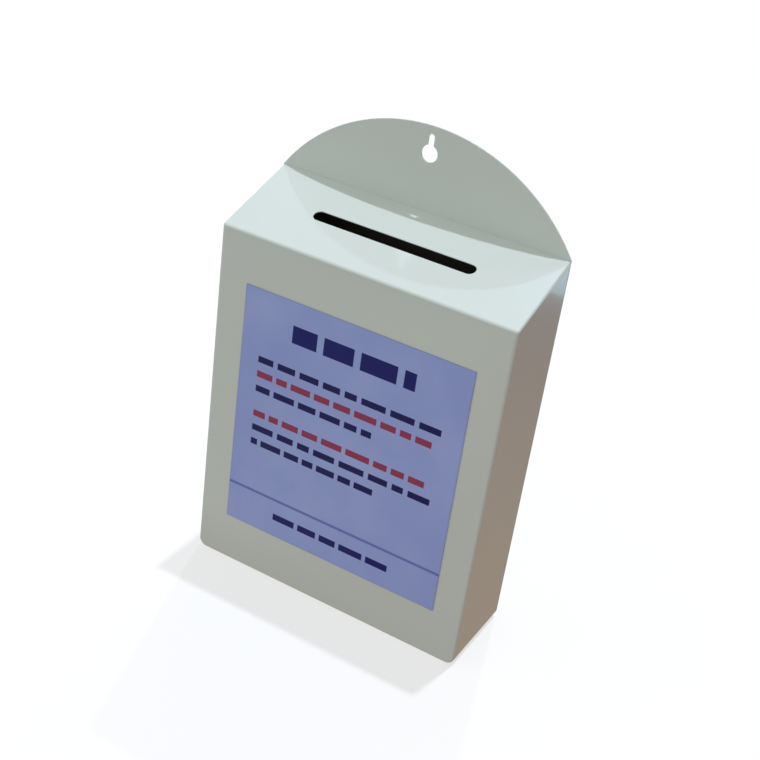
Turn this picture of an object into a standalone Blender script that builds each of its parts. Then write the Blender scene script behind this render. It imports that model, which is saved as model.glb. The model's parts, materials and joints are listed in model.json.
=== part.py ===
"""A wall-hung suggestion box in painted sheet steel.

Metres, +Z up. The front faces -Y, and the origin is the middle of the base.
A pressed pan makes the front, the sides and the rim under the box. A flat lid
with a letter slot and folded edges closes its sloping top, and a flat back
plate, whose head rises as a round arc with a keyhole, closes its back. A shallow
door hangs in the base on a piano hinge, and a cam lock holds it shut.
"""
from math import acos, atan, atan2, cos, pi, radians, sin, sqrt

import bmesh
import bpy
from mathutils import Matrix, Vector

# Overall sizes of the box
BOX_WIDTH = 0.220
BOX_DEPTH = 0.070
FRONT_HEIGHT = 0.265
REAR_HEIGHT = 0.2895
HEAD_HEIGHT = 0.348

# Sheets, the gap that touching pieces keep, and what cuts and joins allow for
SHELL_SHEET = 0.0010
LID_SHEET = 0.0010
PLATE_SHEET = 0.0012
DOOR_SHEET = 0.0010
SEAT_GAP = 0.0003
OVERRUN = 0.010
SNAP = 0.0002
MERGE_DISTANCE = 0.00001

# Body shell, a pressed pan
FRONT_BEND = 0.0020
BOTTOM_CORNER = 0.0065
REAR_EDGE = 0.0006
REAR_FLANGE = 0.0100
FRONT_LIP = 0.0090
SIDE_LIP = 0.0100
APERTURE_CORNER = 0.0030

# Lid, its slot, its rim and the skirts inside the shell
LID_RIM = 0.0024
LID_EDGE = 0.0009
SKIRT_HEIGHT = 0.0090
SLOT_LENGTH = 0.1220
SLOT_WIDTH = 0.0095
SLOT_FROM_FRONT = 0.0346

# Keyhole in the head of the back plate
KEYHOLE_HEIGHT = 0.3290
KEYHOLE_DIAMETER = 0.0120
KEYHOLE_NECK = 0.0044
KEYHOLE_TOP = 0.3425
PLATE_EDGE = 0.0003

# Label on the front
LABEL_WIDTH = 0.1750
LABEL_HEIGHT = 0.1905
LABEL_BOTTOM = 0.0385
LABEL_OFFSET = 0.0008
LABEL_SHEET = 0.0003
LABEL_GAP = 0.0002

# Door in the base
DOOR_CLEARANCE = 0.0010
DOOR_RECESS = 0.0050
DOOR_FLANGE_LIFT = 0.0005
DOOR_BEND = 0.0015
FLANGE_SETBACK = 0.0060

# Piano hinge
HINGE_FROM_SIDE = 0.0100
HINGE_SHEET = 0.0008
KNUCKLE_COUNT = 12
KNUCKLE_CLEARANCE = 0.0003
PIN_DIAMETER = 0.0020
PIN_CLEARANCE = 0.00015
PIN_SHORT = 0.0006
PIN_EDGE = 0.00025
FIXED_LEAF_HEIGHT = 0.0140
DOOR_LEAF_DEPTH = 0.0130
CURL_OPENING = 75.0

# Rivets of the hinge
RIVET_COUNT = 4
RIVET_SHANK = 0.0024
RIVET_HEAD = 0.0046
RIVET_HEAD_HEIGHT = 0.0009
RIVET_TAIL = 0.0040
RIVET_TAIL_HEIGHT = 0.0011
RIVET_HOLE = 0.0030
RIVET_END_MARGIN = 0.0150
COUNTERSINK = 0.0056
FLUSH_DEPTH = 0.0001

# Cam lock
LOCK_FROM_FRONT = 0.0270
LOCK_BODY = 0.0160
LOCK_FLATS = 0.0136
LOCK_LENGTH = 0.0153
LOCK_HEAD = 0.0220
LOCK_HEAD_HEIGHT = 0.0020
LOCK_HEAD_EDGE = 0.0007
NUT_FLATS = 0.0200
NUT_HEIGHT = 0.0030
NUT_SIDES = 6
PLUG_DIAMETER = 0.0110
PLUG_COLLAR = 0.0130
PLUG_COLLAR_HEIGHT = 0.0010
PLUG_CLEARANCE = 0.00015
PLUG_RECESS = 0.0002
KEYWAY_LENGTH = 0.0062
KEYWAY_WIDTH = 0.0013
KEYWAY_DEPTH = 0.0100
TANG_SIDE = 0.0056
CAM_SHEET = 0.0020
CAM_REACH = 0.0230
CAM_HUB = 0.0150
CAM_TIP = 0.0110
CAM_PLAY = 0.0003
WASHER_DIAMETER = 0.0100
WASHER_SHEET = 0.0008
SCREW_SHANK = 0.0034
SCREW_HOLE = 0.0040
SCREW_HEAD = 0.0074
SCREW_HEAD_HEIGHT = 0.0022
SCREW_LENGTH = 0.0080
SCREW_CROSS_LENGTH = 0.0040
SCREW_CROSS_WIDTH = 0.0009
SCREW_CROSS_DEPTH = 0.0010

# Strike bracket for the cam
STRIKE_WIDTH = 0.0240
STRIKE_SHEET = 0.0015
STRIKE_LEG = 0.0100
STRIKE_DROP = 0.0110
STRIKE_BEND = 0.0025
STRIKE_CLEARANCE = 0.0005

# Facets along curves
HEAD_STEPS = 48
CORNER_STEPS = 7
BEND_STEPS = 4
ROUND_SIDES = 32
SMALL_SIDES = 20
CURL_STEPS = 14
PIN_SIDES = 16
FLAT_STEPS = 6
ARCH_STEPS = 10
HUB_STEPS = 14
EDGE_STEPS = 2
SHARP_ANGLE = radians(30)
ROUND_SHARE = 0.5
FACING_UP_SHARE = 0.5

# Places worked out from the sizes above
LABEL_PROUD = LABEL_SHEET + LABEL_GAP
FRONT = -(BOX_DEPTH - LABEL_PROUD) / 2
BACK = FRONT + BOX_DEPTH
HALF_WIDTH = BOX_WIDTH / 2
PLATE_FACE = BACK - PLATE_SHEET
SHELL_REAR = PLATE_FACE - SEAT_GAP
LID_REAR = PLATE_FACE - SEAT_GAP
LID_SLOPE = (REAR_HEIGHT - FRONT_HEIGHT) / BOX_DEPTH
HEAD_RISE = HEAD_HEIGHT - REAR_HEIGHT
HEAD_RADIUS = (HALF_WIDTH ** 2 + HEAD_RISE ** 2) / (2 * HEAD_RISE)

APERTURE_FRONT = FRONT + FRONT_LIP
APERTURE_HALF = HALF_WIDTH - SIDE_LIP
HINGE_LENGTH = 2 * (APERTURE_HALF - HINGE_FROM_SIDE)
DOOR_UNDERSIDE = DOOR_RECESS
DOOR_TOP = DOOR_UNDERSIDE + DOOR_SHEET

BORE_RADIUS = PIN_DIAMETER / 2 + PIN_CLEARANCE
BARREL_RADIUS = BORE_RADIUS + HINGE_SHEET
HINGE_Y = PLATE_FACE - SEAT_GAP - BARREL_RADIUS
HINGE_Z = DOOR_UNDERSIDE - SEAT_GAP - BARREL_RADIUS
HINGE_AXIS = Vector((0, HINGE_Y, HINGE_Z))
DOOR_FRONT = APERTURE_FRONT + DOOR_CLEARANCE
DOOR_REAR = HINGE_Y - SEAT_GAP
DOOR_HALF = APERTURE_HALF - DOOR_CLEARANCE
FIXED_RIVET_Z = HINGE_Z + BARREL_RADIUS + FIXED_LEAF_HEIGHT / 2
DOOR_RIVET_Y = HINGE_Y - BARREL_RADIUS - DOOR_LEAF_DEPTH / 2

LOCK_Y = FRONT + LOCK_FROM_FRONT
LOCK_AXIS = Vector((0, LOCK_Y, 0))
LOCK_HEAD_TOP = DOOR_UNDERSIDE - SEAT_GAP
LOCK_FACE = LOCK_HEAD_TOP - LOCK_HEAD_HEIGHT
LOCK_TOP = LOCK_HEAD_TOP + LOCK_LENGTH
PLUG_FACE = LOCK_FACE + PLUG_RECESS
PLUG_COLLAR_TOP = PLUG_FACE + PLUG_COLLAR_HEIGHT
NUT_BOTTOM = DOOR_TOP + SEAT_GAP
CAM_BOTTOM = LOCK_TOP + SEAT_GAP
CAM_TOP = CAM_BOTTOM + CAM_SHEET
TANG_TOP = CAM_TOP - SEAT_GAP
WASHER_BOTTOM = CAM_TOP + SEAT_GAP
SCREW_SEAT = WASHER_BOTTOM + WASHER_SHEET + SEAT_GAP
SCREW_TIP = SCREW_SEAT - SCREW_LENGTH
STRIKE_TOP = CAM_BOTTOM - STRIKE_CLEARANCE


def clear_scene():
    for old in list(bpy.data.objects):
        bpy.data.objects.remove(old, do_unlink=True)


def make_material(name, colour, roughness, metallic):
    material = bpy.data.materials.new(name)
    material.use_nodes = True
    shader = material.node_tree.nodes["Principled BSDF"]
    shader.inputs["Base Color"].default_value = (*colour, 1)
    shader.inputs["Roughness"].default_value = roughness
    shader.inputs["Metallic"].default_value = metallic
    return material


def white_paint(name):
    return make_material(name, (0.66, 0.71, 0.68), 0.25, 0)


def zinc_steel(name):
    return make_material(name, (0.62, 0.62, 0.60), 0.35, 1)


def lock_chrome(name):
    return make_material(name, (0.75, 0.75, 0.76), 0.15, 1)


def rivet_aluminium(name):
    return make_material(name, (0.72, 0.73, 0.74), 0.40, 1)


def label_print(name):
    return make_material(name, (0.21, 0.25, 0.45), 0.45, 0)


def mesh_object(name, bm):
    """Turns a bmesh into a linked object with its faces pointing out."""
    bmesh.ops.recalc_face_normals(bm, faces=bm.faces)
    mesh = bpy.data.meshes.new(name)
    bm.to_mesh(mesh)
    bm.free()
    thing = bpy.data.objects.new(name, mesh)
    bpy.context.collection.objects.link(thing)
    return thing


def arc(centre_u, centre_v, radius, start, end, steps):
    """Points along an arc, with both its ends, in the plane of an outline."""
    points = []
    for step in range(steps + 1):
        angle = start + (end - start) * step / steps
        points.append((centre_u + radius * cos(angle), centre_v + radius * sin(angle)))
    return points


def circle(centre_u, centre_v, radius, sides):
    return arc(centre_u, centre_v, radius, 0, 2 * pi * (sides - 1) / sides, sides - 1)


def rectangle(low_u, high_u, low_v, high_v):
    return [(low_u, low_v), (high_u, low_v), (high_u, high_v), (low_u, high_v)]


def to_space(axis, u, v, along):
    if axis == "X":
        return Vector((along, u, v))
    if axis == "Y":
        return Vector((u, along, v))
    return Vector((u, v, along))


def prism_mesh(outline, axis, low, high):
    """A straight prism on a closed outline, between two places along an axis."""
    bm = bmesh.new()
    ring = [bm.verts.new(to_space(axis, u, v, low)) for u, v in outline]
    base = bm.faces.new(ring)
    grown = bmesh.ops.extrude_face_region(bm, geom=[base])["geom"]
    moved = [item for item in grown if isinstance(item, bmesh.types.BMVert)]
    bmesh.ops.translate(bm, verts=moved, vec=to_space(axis, 0, 0, high - low))
    bmesh.ops.recalc_face_normals(bm, faces=bm.faces)
    return bm


def prism(name, outline, axis, low, high):
    return mesh_object(name, prism_mesh(outline, axis, low, high))


def block(name, low, high):
    """A box between two corners."""
    return prism(name, rectangle(low[0], high[0], low[1], high[1]), "Z", low[2], high[2])


def turned(name, profile, sides):
    """A closed profile of (radius, height) points that starts and ends on the axis, turned about Z."""
    bm = bmesh.new()
    line = [bm.verts.new((radius, 0, height)) for radius, height in profile]
    edges = [bm.edges.new(pair) for pair in zip(line, line[1:])]
    bmesh.ops.spin(
        bm, geom=line + edges, axis=(0, 0, 1), cent=(0, 0, 0), angle=2 * pi, steps=sides, use_merge=True
    )
    bmesh.ops.remove_doubles(bm, verts=bm.verts, dist=MERGE_DISTANCE)
    return mesh_object(name, bm)


def lofted(name, levels, round_a_bore=False):
    """A skin through (outline, height) levels whose outlines have as many points each.

    Its first and last level are capped, or joined to each other round a bore.
    """
    bm = bmesh.new()
    rings = [[bm.verts.new((x, y, height)) for x, y in outline] for outline, height in levels]
    pairs = list(zip(rings, rings[1:]))
    if round_a_bore:
        pairs.append((rings[-1], rings[0]))
    else:
        bm.faces.new(rings[0])
        bm.faces.new(rings[-1])
    for lower, upper in pairs:
        for index in range(len(lower)):
            bm.faces.new((lower[index - 1], lower[index], upper[index], upper[index - 1]))
    return mesh_object(name, bm)


def round_edges(bm, edges, radius, steps=BEND_STEPS):
    bmesh.ops.bevel(bm, geom=edges, offset=radius, segments=steps, profile=ROUND_SHARE, affect="EDGES")


def boolean(target, tool, operation):
    modifier = target.modifiers.new(tool.name, "BOOLEAN")
    modifier.object = tool
    modifier.operation = operation
    modifier.solver = "EXACT"
    tool.hide_render = True
    tool.display_type = "WIRE"


def cut(target, tool):
    boolean(target, tool, "DIFFERENCE")


def unite(target, tool):
    boolean(target, tool, "UNION")


def move_mesh(thing, matrix):
    thing.data.transform(matrix)


def dress(thing, material):
    """Gives a finished piece its material and smooth round faces."""
    thing.data.materials.clear()
    thing.data.materials.append(material)
    thing.data.shade_smooth()
    thing.data.set_sharp_from_angle(angle=SHARP_ANGLE)


def hang(thing, empty):
    """Puts a piece, and what cuts or joins it, on an axis, with its origin there."""
    offset = Matrix.Translation(-empty.matrix_world.translation)
    group = [thing] + [modifier.object for modifier in thing.modifiers if modifier.type == "BOOLEAN"]
    for item in group:
        if item.parent is None:
            item.data.transform(offset)
            item.parent = empty


def axis_empty(name, place, parent=None):
    empty = bpy.data.objects.new(name, None)
    bpy.context.collection.objects.link(empty)
    empty.location = place
    if parent is not None:
        empty.parent = parent
        empty.location = place - parent.matrix_world.translation
    bpy.context.view_layer.update()
    return empty


def spread(count, half_span):
    """Evenly spaced places from one end of a span to the other."""
    return [-half_span + 2 * half_span * index / (count - 1) for index in range(count)]


# Body shell

def lid_height(y):
    """How high the flat lid lies, from the box's front edge up to its back."""
    return FRONT_HEIGHT + LID_SLOPE * (y - FRONT)


def pan_outline(inset, top):
    """The front view of the pan, with round bottom corners, set in by a wall."""
    half = HALF_WIDTH - inset
    radius = BOTTOM_CORNER - inset
    points = [(-half, top)]
    points += arc(-half + radius, inset + radius, radius, pi, 1.5 * pi, CORNER_STEPS)
    points += arc(half - radius, inset + radius, radius, 1.5 * pi, 2 * pi, CORNER_STEPS)
    points.append((half, top))
    return points


def pan_edges(bm, place, top):
    """The pan's edges round one end, without the edge along its open top."""
    chosen = []
    for edge in bm.edges:
        ends = [vert.co for vert in edge.verts]
        at_end = all(abs(end.y - place) < SNAP for end in ends)
        on_top = all(abs(end.z - top) < SNAP for end in ends)
        if at_end and not on_top:
            chosen.append(edge)
    return chosen


def pan_block(name, inset, front, rear, front_radius, rear_radius, top):
    """A solid pan with a round bend at its front edges and a small one at its rear."""
    bm = prism_mesh(pan_outline(inset, top), "Y", front, rear)
    for place, radius in ((front, front_radius), (rear, rear_radius)):
        if radius > 0:
            round_edges(bm, pan_edges(bm, place, top), radius)
    return mesh_object(name, bm)


def rear_window_outline():
    """The open back between the rear flanges, full width above them for the lid's skirts."""
    narrow = HALF_WIDTH - REAR_FLANGE
    wide = HALF_WIDTH - SHELL_SHEET
    step = REAR_HEIGHT - LID_RIM - 2 * SKIRT_HEIGHT
    top = REAR_HEIGHT + OVERRUN
    bottom = SHELL_SHEET
    return [
        (-narrow, bottom), (narrow, bottom), (narrow, step), (wide, step),
        (wide, top), (-wide, top), (-wide, step), (-narrow, step),
    ]


def top_wedge():
    """What lies above the sloping top edges of the pan."""
    drop = LID_RIM + SEAT_GAP
    front, rear = FRONT - OVERRUN, BACK + OVERRUN
    low, high = lid_height(front) - drop, lid_height(rear) - drop
    outline = [(front, low), (rear, high), (rear, HEAD_HEIGHT), (front, HEAD_HEIGHT)]
    return prism("shell_top_cutter", outline, "X", -HALF_WIDTH - OVERRUN, HALF_WIDTH + OVERRUN)


def aperture_outline():
    """The opening in the base, seen from above, round at its front corners."""
    half = APERTURE_HALF
    radius = APERTURE_CORNER
    rear = SHELL_REAR + OVERRUN
    points = [(half, rear), (-half, rear)]
    points += arc(-half + radius, APERTURE_FRONT + radius, radius, pi, 1.5 * pi, BEND_STEPS)
    points += arc(half - radius, APERTURE_FRONT + radius, radius, 1.5 * pi, 2 * pi, BEND_STEPS)
    return points


def make_body_shell():
    top = HEAD_HEIGHT - OVERRUN
    shell = pan_block("body_shell", 0, FRONT, SHELL_REAR, FRONT_BEND, REAR_EDGE, top)
    cavity = pan_block(
        "shell_cavity_cutter", SHELL_SHEET, FRONT + SHELL_SHEET, SHELL_REAR - SHELL_SHEET,
        FRONT_BEND - SHELL_SHEET, 0, top + OVERRUN
    )
    window = prism(
        "shell_window_cutter", rear_window_outline(), "Y", SHELL_REAR - 2 * SHELL_SHEET, SHELL_REAR + OVERRUN
    )
    aperture = prism("shell_aperture_cutter", aperture_outline(), "Z", -OVERRUN, SHELL_SHEET + SEAT_GAP)
    cut(shell, cavity)
    cut(shell, window)
    cut(shell, aperture)
    cut(shell, top_wedge())
    dress(shell, white_paint("shell_paint"))


# Lid

def lid_slab_mesh(half, front, rear, top_drop, bottom_drop):
    """A slab whose top and underside both follow the lid's slope."""
    outline = [
        (front, lid_height(front) - bottom_drop),
        (rear, lid_height(rear) - bottom_drop),
        (rear, lid_height(rear) - top_drop),
        (front, lid_height(front) - top_drop),
    ]
    return prism_mesh(outline, "X", -half, half)


def lid_ring(inset, drop):
    """The lid's outline set in by its edge's curve, laid on the slope, round at the front corners."""
    half, radius = HALF_WIDTH - inset, FRONT_BEND - inset
    centre_x, centre_y = HALF_WIDTH - FRONT_BEND, FRONT + FRONT_BEND
    outline = [(half, LID_REAR), (-half, LID_REAR)]
    outline += arc(-centre_x, centre_y, radius, pi, 1.5 * pi, BEND_STEPS)
    outline += arc(centre_x, centre_y, radius, 1.5 * pi, 2 * pi, BEND_STEPS)
    return [Vector((x, y, lid_height(y) - drop)) for x, y in outline]


def lid_cap():
    """The visible sheet of the lid, with the rim that stands on the shell's walls."""
    profile = arc(LID_EDGE, LID_EDGE, LID_EDGE, pi, 1.5 * pi, BEND_STEPS)
    bm = bmesh.new()
    rings = [[bm.verts.new(place) for place in lid_ring(*step)] for step in [(0, LID_RIM)] + profile]
    bm.faces.new(rings[0])
    bm.faces.new(rings[-1])
    for lower, upper in zip(rings, rings[1:]):
        for index in range(1, len(lower)):
            bm.faces.new((lower[index - 1], lower[index], upper[index], upper[index - 1]))
        bm.faces.new((lower[-1], lower[0], upper[0], upper[-1]))
    return mesh_object("lid", bm)


def lid_slab(name, inset, rear_inset, top_drop, bottom_drop):
    bm = lid_slab_mesh(HALF_WIDTH - inset, FRONT + inset, LID_REAR - rear_inset, top_drop, bottom_drop)
    return mesh_object(name, bm)


def slot_outline():
    """A stadium, round at both ends, about its own middle."""
    radius = SLOT_WIDTH / 2
    reach = SLOT_LENGTH / 2 - radius
    points = arc(reach, 0, radius, -pi / 2, pi / 2, CORNER_STEPS * 2)
    points += arc(-reach, 0, radius, pi / 2, 1.5 * pi, CORNER_STEPS * 2)
    return points


def slot_cutter():
    """The punch of the letter slot, square to the sheet."""
    cutter = prism("lid_slot_cutter", slot_outline(), "Z", -LID_RIM - OVERRUN, OVERRUN)
    middle = FRONT + SLOT_FROM_FRONT
    turn = Matrix.Rotation(atan(LID_SLOPE), 4, "X")
    move_mesh(cutter, Matrix.Translation((0, middle, lid_height(middle))) @ turn)
    return cutter


def make_lid():
    skirt_inset = SHELL_SHEET + SEAT_GAP
    lid = lid_cap()
    skirts = lid_slab("lid_skirt_block", skirt_inset, SEAT_GAP, LID_SHEET / 2, LID_RIM + SKIRT_HEIGHT)
    hollow = lid_slab(
        "lid_hollow_cutter", skirt_inset + LID_SHEET, SEAT_GAP + LID_SHEET, LID_SHEET,
        LID_RIM + SKIRT_HEIGHT + OVERRUN
    )
    unite(lid, skirts)
    cut(lid, hollow)
    cut(lid, slot_cutter())
    dress(lid, white_paint("lid_paint"))


# Back plate

def plate_outline():
    """The pan's outline below and one round arc above."""
    centre = HEAD_HEIGHT - HEAD_RADIUS
    angle = atan2(REAR_HEIGHT - centre, HALF_WIDTH)
    points = pan_outline(0, REAR_HEIGHT)[1:-1]
    points += arc(0, centre, HEAD_RADIUS, angle, pi - angle, HEAD_STEPS)
    return points


def keyhole_outline():
    """A round hole that narrows upwards into a neck with a round end."""
    radius = KEYHOLE_DIAMETER / 2
    neck = KEYHOLE_NECK / 2
    start = atan2(sqrt(radius ** 2 - neck ** 2), neck)
    points = arc(0, KEYHOLE_HEIGHT, radius, pi - start, 2 * pi + start, ROUND_SIDES)
    points += arc(0, KEYHOLE_TOP - neck, neck, 0, pi, CORNER_STEPS)
    return points


def countersink_cutter(name, x):
    """A through hole for a rivet, opening to a cone at the back face."""
    depth = (COUNTERSINK - RIVET_HOLE) / 2
    profile = [
        (0, -OVERRUN),
        (RIVET_HOLE / 2, -OVERRUN),
        (RIVET_HOLE / 2, -depth),
        (COUNTERSINK / 2, 0),
        (COUNTERSINK / 2, OVERRUN),
        (0, OVERRUN),
    ]
    cutter = turned(name, profile, SMALL_SIDES)
    turn = Matrix.Rotation(-pi / 2, 4, "X")
    move_mesh(cutter, Matrix.Translation((x, BACK, FIXED_RIVET_Z)) @ turn)
    return cutter


def rivet_places():
    return spread(RIVET_COUNT, HINGE_LENGTH / 2 - RIVET_END_MARGIN)


def make_back_plate():
    bm = prism_mesh(plate_outline(), "Y", PLATE_FACE, BACK)
    rims = [edge for edge in bm.edges if abs(edge.verts[0].co.y - edge.verts[1].co.y) < SNAP]
    round_edges(bm, rims, PLATE_EDGE, EDGE_STEPS)
    plate = mesh_object("back_plate", bm)
    cut(plate, prism("keyhole_cutter", keyhole_outline(), "Y", PLATE_FACE - OVERRUN, BACK + OVERRUN))
    for index, x in enumerate(rivet_places()):
        cut(plate, countersink_cutter(f"plate_rivet_cutter_{index + 1}", x))
    dress(plate, white_paint("plate_paint"))


# Door in the base

def door_outline(inset):
    """The door seen from above, round at its front corners, square at the hinge."""
    half = DOOR_HALF - inset
    front = DOOR_FRONT + inset
    radius = APERTURE_CORNER - DOOR_CLEARANCE
    points = [(half, DOOR_REAR), (-half, DOOR_REAR)]
    points += arc(-half + radius, front + radius, radius, pi, 1.5 * pi, BEND_STEPS)
    points += arc(half - radius, front + radius, radius, 1.5 * pi, 2 * pi, BEND_STEPS)
    return points


def door_bend_edges(bm):
    """The upper edges of the door where its flanges turn down."""
    chosen = []
    for edge in bm.edges:
        ends = [vert.co for vert in edge.verts]
        on_top = all(abs(end.z - DOOR_TOP) < SNAP for end in ends)
        at_rear = all(abs(end.y - DOOR_REAR) < SNAP for end in ends)
        if on_top and not at_rear:
            chosen.append(edge)
    return chosen


def hole_cutter(name, x, y, diameter, low, high):
    return prism(name, circle(x, y, diameter / 2, SMALL_SIDES), "Z", low, high)


def make_door(axis):
    bm = prism_mesh(door_outline(0), "Z", DOOR_FLANGE_LIFT, DOOR_TOP)
    round_edges(bm, door_bend_edges(bm), DOOR_BEND)
    door = mesh_object("door", bm)
    tray = [(u, v if v < DOOR_REAR else DOOR_REAR + OVERRUN) for u, v in door_outline(DOOR_SHEET)]
    cut(door, prism("door_tray_cutter", tray, "Z", -OVERRUN, DOOR_UNDERSIDE))
    setback = HINGE_Y - FLANGE_SETBACK
    low = (-DOOR_HALF - OVERRUN, setback, -OVERRUN)
    high = (DOOR_HALF + OVERRUN, DOOR_REAR + OVERRUN, DOOR_UNDERSIDE - SEAT_GAP)
    cut(door, block("door_setback_cutter", low, high))
    low, high = DOOR_UNDERSIDE - OVERRUN, DOOR_TOP + OVERRUN
    wide, flat = LOCK_BODY + 2 * SEAT_GAP, LOCK_FLATS + 2 * SEAT_GAP
    hole = on_rays(flatted_rays(wide, flat), flatted_reach(wide, flat))
    cut(door, prism("door_lock_cutter", hole, "Z", low, high))
    for index, x in enumerate(rivet_places()):
        name = f"door_rivet_cutter_{index + 1}"
        cut(door, hole_cutter(name, x, DOOR_RIVET_Y, RIVET_HOLE, low, high))
    dress(door, white_paint("door_paint"))
    hang(door, axis)


# Piano hinge

def curl_outline(leaf_length):
    """The end view of one knuckle and its leaf: (out, up) with the pin at the middle.

    The sheet comes down the outer side and rolls round the pin, with its end just short of the leaf.
    """
    end = radians(CURL_OPENING) - 2 * pi
    points = [(BARREL_RADIUS, BARREL_RADIUS + leaf_length)]
    points += arc(0, 0, BARREL_RADIUS, 0, end, CURL_STEPS)
    points += arc(0, 0, BORE_RADIUS, end, 0, CURL_STEPS)
    points.append((BORE_RADIUS, BARREL_RADIUS + leaf_length))
    return points


def fixed_place(out, up):
    """Stands a hinge outline upright against the back plate."""
    return (HINGE_Y + out, HINGE_Z + up)


def door_place(out, up):
    """Lays a hinge outline flat under the door."""
    return (HINGE_Y - up, HINGE_Z + out)


def knuckle_span(index):
    """Where one knuckle starts and ends along the pin."""
    pitch = HINGE_LENGTH / KNUCKLE_COUNT
    low = -HINGE_LENGTH / 2 + pitch * index
    return low + KNUCKLE_CLEARANCE / 2, low + pitch - KNUCKLE_CLEARANCE / 2


def hinge_leaf(name, place, leaf_length, first):
    """A leaf with every second knuckle rolled on it, as one piece."""
    root = BARREL_RADIUS + SEAT_GAP
    sheet = rectangle(BORE_RADIUS, BARREL_RADIUS, root, BARREL_RADIUS + leaf_length)
    half = HINGE_LENGTH / 2 - KNUCKLE_CLEARANCE / 2
    leaf = prism(name, [place(out, up) for out, up in sheet], "X", -half, half)
    curl = [place(out, up) for out, up in curl_outline(leaf_length)]
    for index in range(first, KNUCKLE_COUNT, 2):
        low, high = knuckle_span(index)
        unite(leaf, prism(f"{name}_knuckle_{index + 1}", curl, "X", low, high))
    return leaf


def make_fixed_leaf():
    leaf = hinge_leaf("hinge_leaf_fixed", fixed_place, FIXED_LEAF_HEIGHT, 0)
    for index, x in enumerate(rivet_places()):
        hole = circle(x, FIXED_RIVET_Z, RIVET_HOLE / 2, SMALL_SIDES)
        cut(leaf, prism(f"fixed_leaf_cutter_{index + 1}", hole, "Y", HINGE_Y, PLATE_FACE + OVERRUN))
    dress(leaf, zinc_steel("fixed_leaf_zinc"))


def make_door_leaf(axis):
    leaf = hinge_leaf("hinge_leaf_door", door_place, DOOR_LEAF_DEPTH, 1)
    for index, x in enumerate(rivet_places()):
        name = f"door_leaf_cutter_{index + 1}"
        cut(leaf, hole_cutter(name, x, DOOR_RIVET_Y, RIVET_HOLE, -OVERRUN, DOOR_TOP))
    dress(leaf, zinc_steel("door_leaf_zinc"))
    hang(leaf, axis)


def make_hinge_pin():
    half = HINGE_LENGTH / 2 - PIN_SHORT
    radius = PIN_DIAMETER / 2
    end = half - PIN_EDGE
    profile = [
        (0, -half), (radius - PIN_EDGE, -half), (radius, -end),
        (radius, end), (radius - PIN_EDGE, half), (0, half),
    ]
    pin = turned("hinge_pin", profile, PIN_SIDES)
    move_mesh(pin, Matrix.Translation(HINGE_AXIS) @ Matrix.Rotation(pi / 2, 4, "Y"))
    dress(pin, zinc_steel("pin_zinc"))


# Rivets

def domed_end(base, height, radius, direction):
    """A low dome on a rivet, from its rim at the base to its top on the axis."""
    points = []
    for step in range(BEND_STEPS):
        angle = pi / 2 * step / BEND_STEPS
        points.append((radius * cos(angle), base + direction * height * sin(angle)))
    return points + [(0, base + direction * height)]


def door_rivet_mesh(axis_drop):
    """A blind rivet, head down under the leaf, tail up above the door."""
    seat = DOOR_UNDERSIDE - 2 * SEAT_GAP - HINGE_SHEET - axis_drop
    tail = DOOR_TOP + SEAT_GAP - axis_drop
    profile = domed_end(seat, RIVET_HEAD_HEIGHT, RIVET_HEAD / 2, -1)[::-1]
    profile += [(RIVET_SHANK / 2, seat), (RIVET_SHANK / 2, tail)]
    profile += domed_end(tail, RIVET_TAIL_HEIGHT, RIVET_TAIL / 2, 1)
    return turned("door_rivet_1", profile, SMALL_SIDES)


def plate_rivet_mesh():
    """A flush rivet: a cone in the back plate, a shank, and a tail on the leaf."""
    flush = -FLUSH_DEPTH
    depth = (COUNTERSINK - RIVET_HOLE) / 2
    gap = (RIVET_HOLE - RIVET_SHANK) / 2
    cone = COUNTERSINK / 2 - gap - FLUSH_DEPTH
    tail = -PLATE_SHEET - HINGE_SHEET - 2 * SEAT_GAP
    profile = domed_end(tail, RIVET_TAIL_HEIGHT, RIVET_TAIL / 2, -1)[::-1]
    profile += [(RIVET_SHANK / 2, tail), (RIVET_SHANK / 2, -depth), (cone, flush), (0, flush)]
    shape = turned("plate_rivet_1", profile, SMALL_SIDES)
    move_mesh(shape, Matrix.Rotation(-pi / 2, 4, "X"))
    return shape


def repeat(first, stem, count):
    """Copies of a piece that share its mesh."""
    copies = [first]
    for index in range(1, count):
        twin = bpy.data.objects.new(f"{stem}_{index + 1}", first.data)
        bpy.context.collection.objects.link(twin)
        copies.append(twin)
    return copies


def make_rivets(axis):
    flush = plate_rivet_mesh()
    dress(flush, rivet_aluminium("plate_rivet_aluminium"))
    for rivet, x in zip(repeat(flush, "plate_rivet", RIVET_COUNT), rivet_places()):
        rivet.location = (x, BACK, FIXED_RIVET_Z)
    domed = door_rivet_mesh(HINGE_Z)
    dress(domed, rivet_aluminium("door_rivet_aluminium"))
    for rivet, x in zip(repeat(domed, "door_rivet", RIVET_COUNT), rivet_places()):
        rivet.parent = axis
        rivet.location = (x, DOOR_RIVET_Y - HINGE_Y, 0)


# Cam lock

def even_rays(sides):
    return [2 * pi * step / sides for step in range(sides)]


def flatted_rays(diameter, flats):
    """Directions that meet the corners of two flats, with even steps between them."""
    corner = acos(flats / diameter)
    rays = []
    for side in (0, pi):
        rays += [side + corner * (2 * step / FLAT_STEPS - 1) for step in range(FLAT_STEPS)]
        rays += [side + corner + (pi - 2 * corner) * step / ARCH_STEPS for step in range(ARCH_STEPS)]
    return rays


def round_reach(diameter):
    return lambda ray: diameter / 2


def flatted_reach(diameter, flats):
    return lambda ray: min(diameter / 2, flats / 2 / abs(cos(ray)))


def square_reach(side):
    return lambda ray: side / 2 / max(abs(cos(ray)), abs(sin(ray)))


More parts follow.
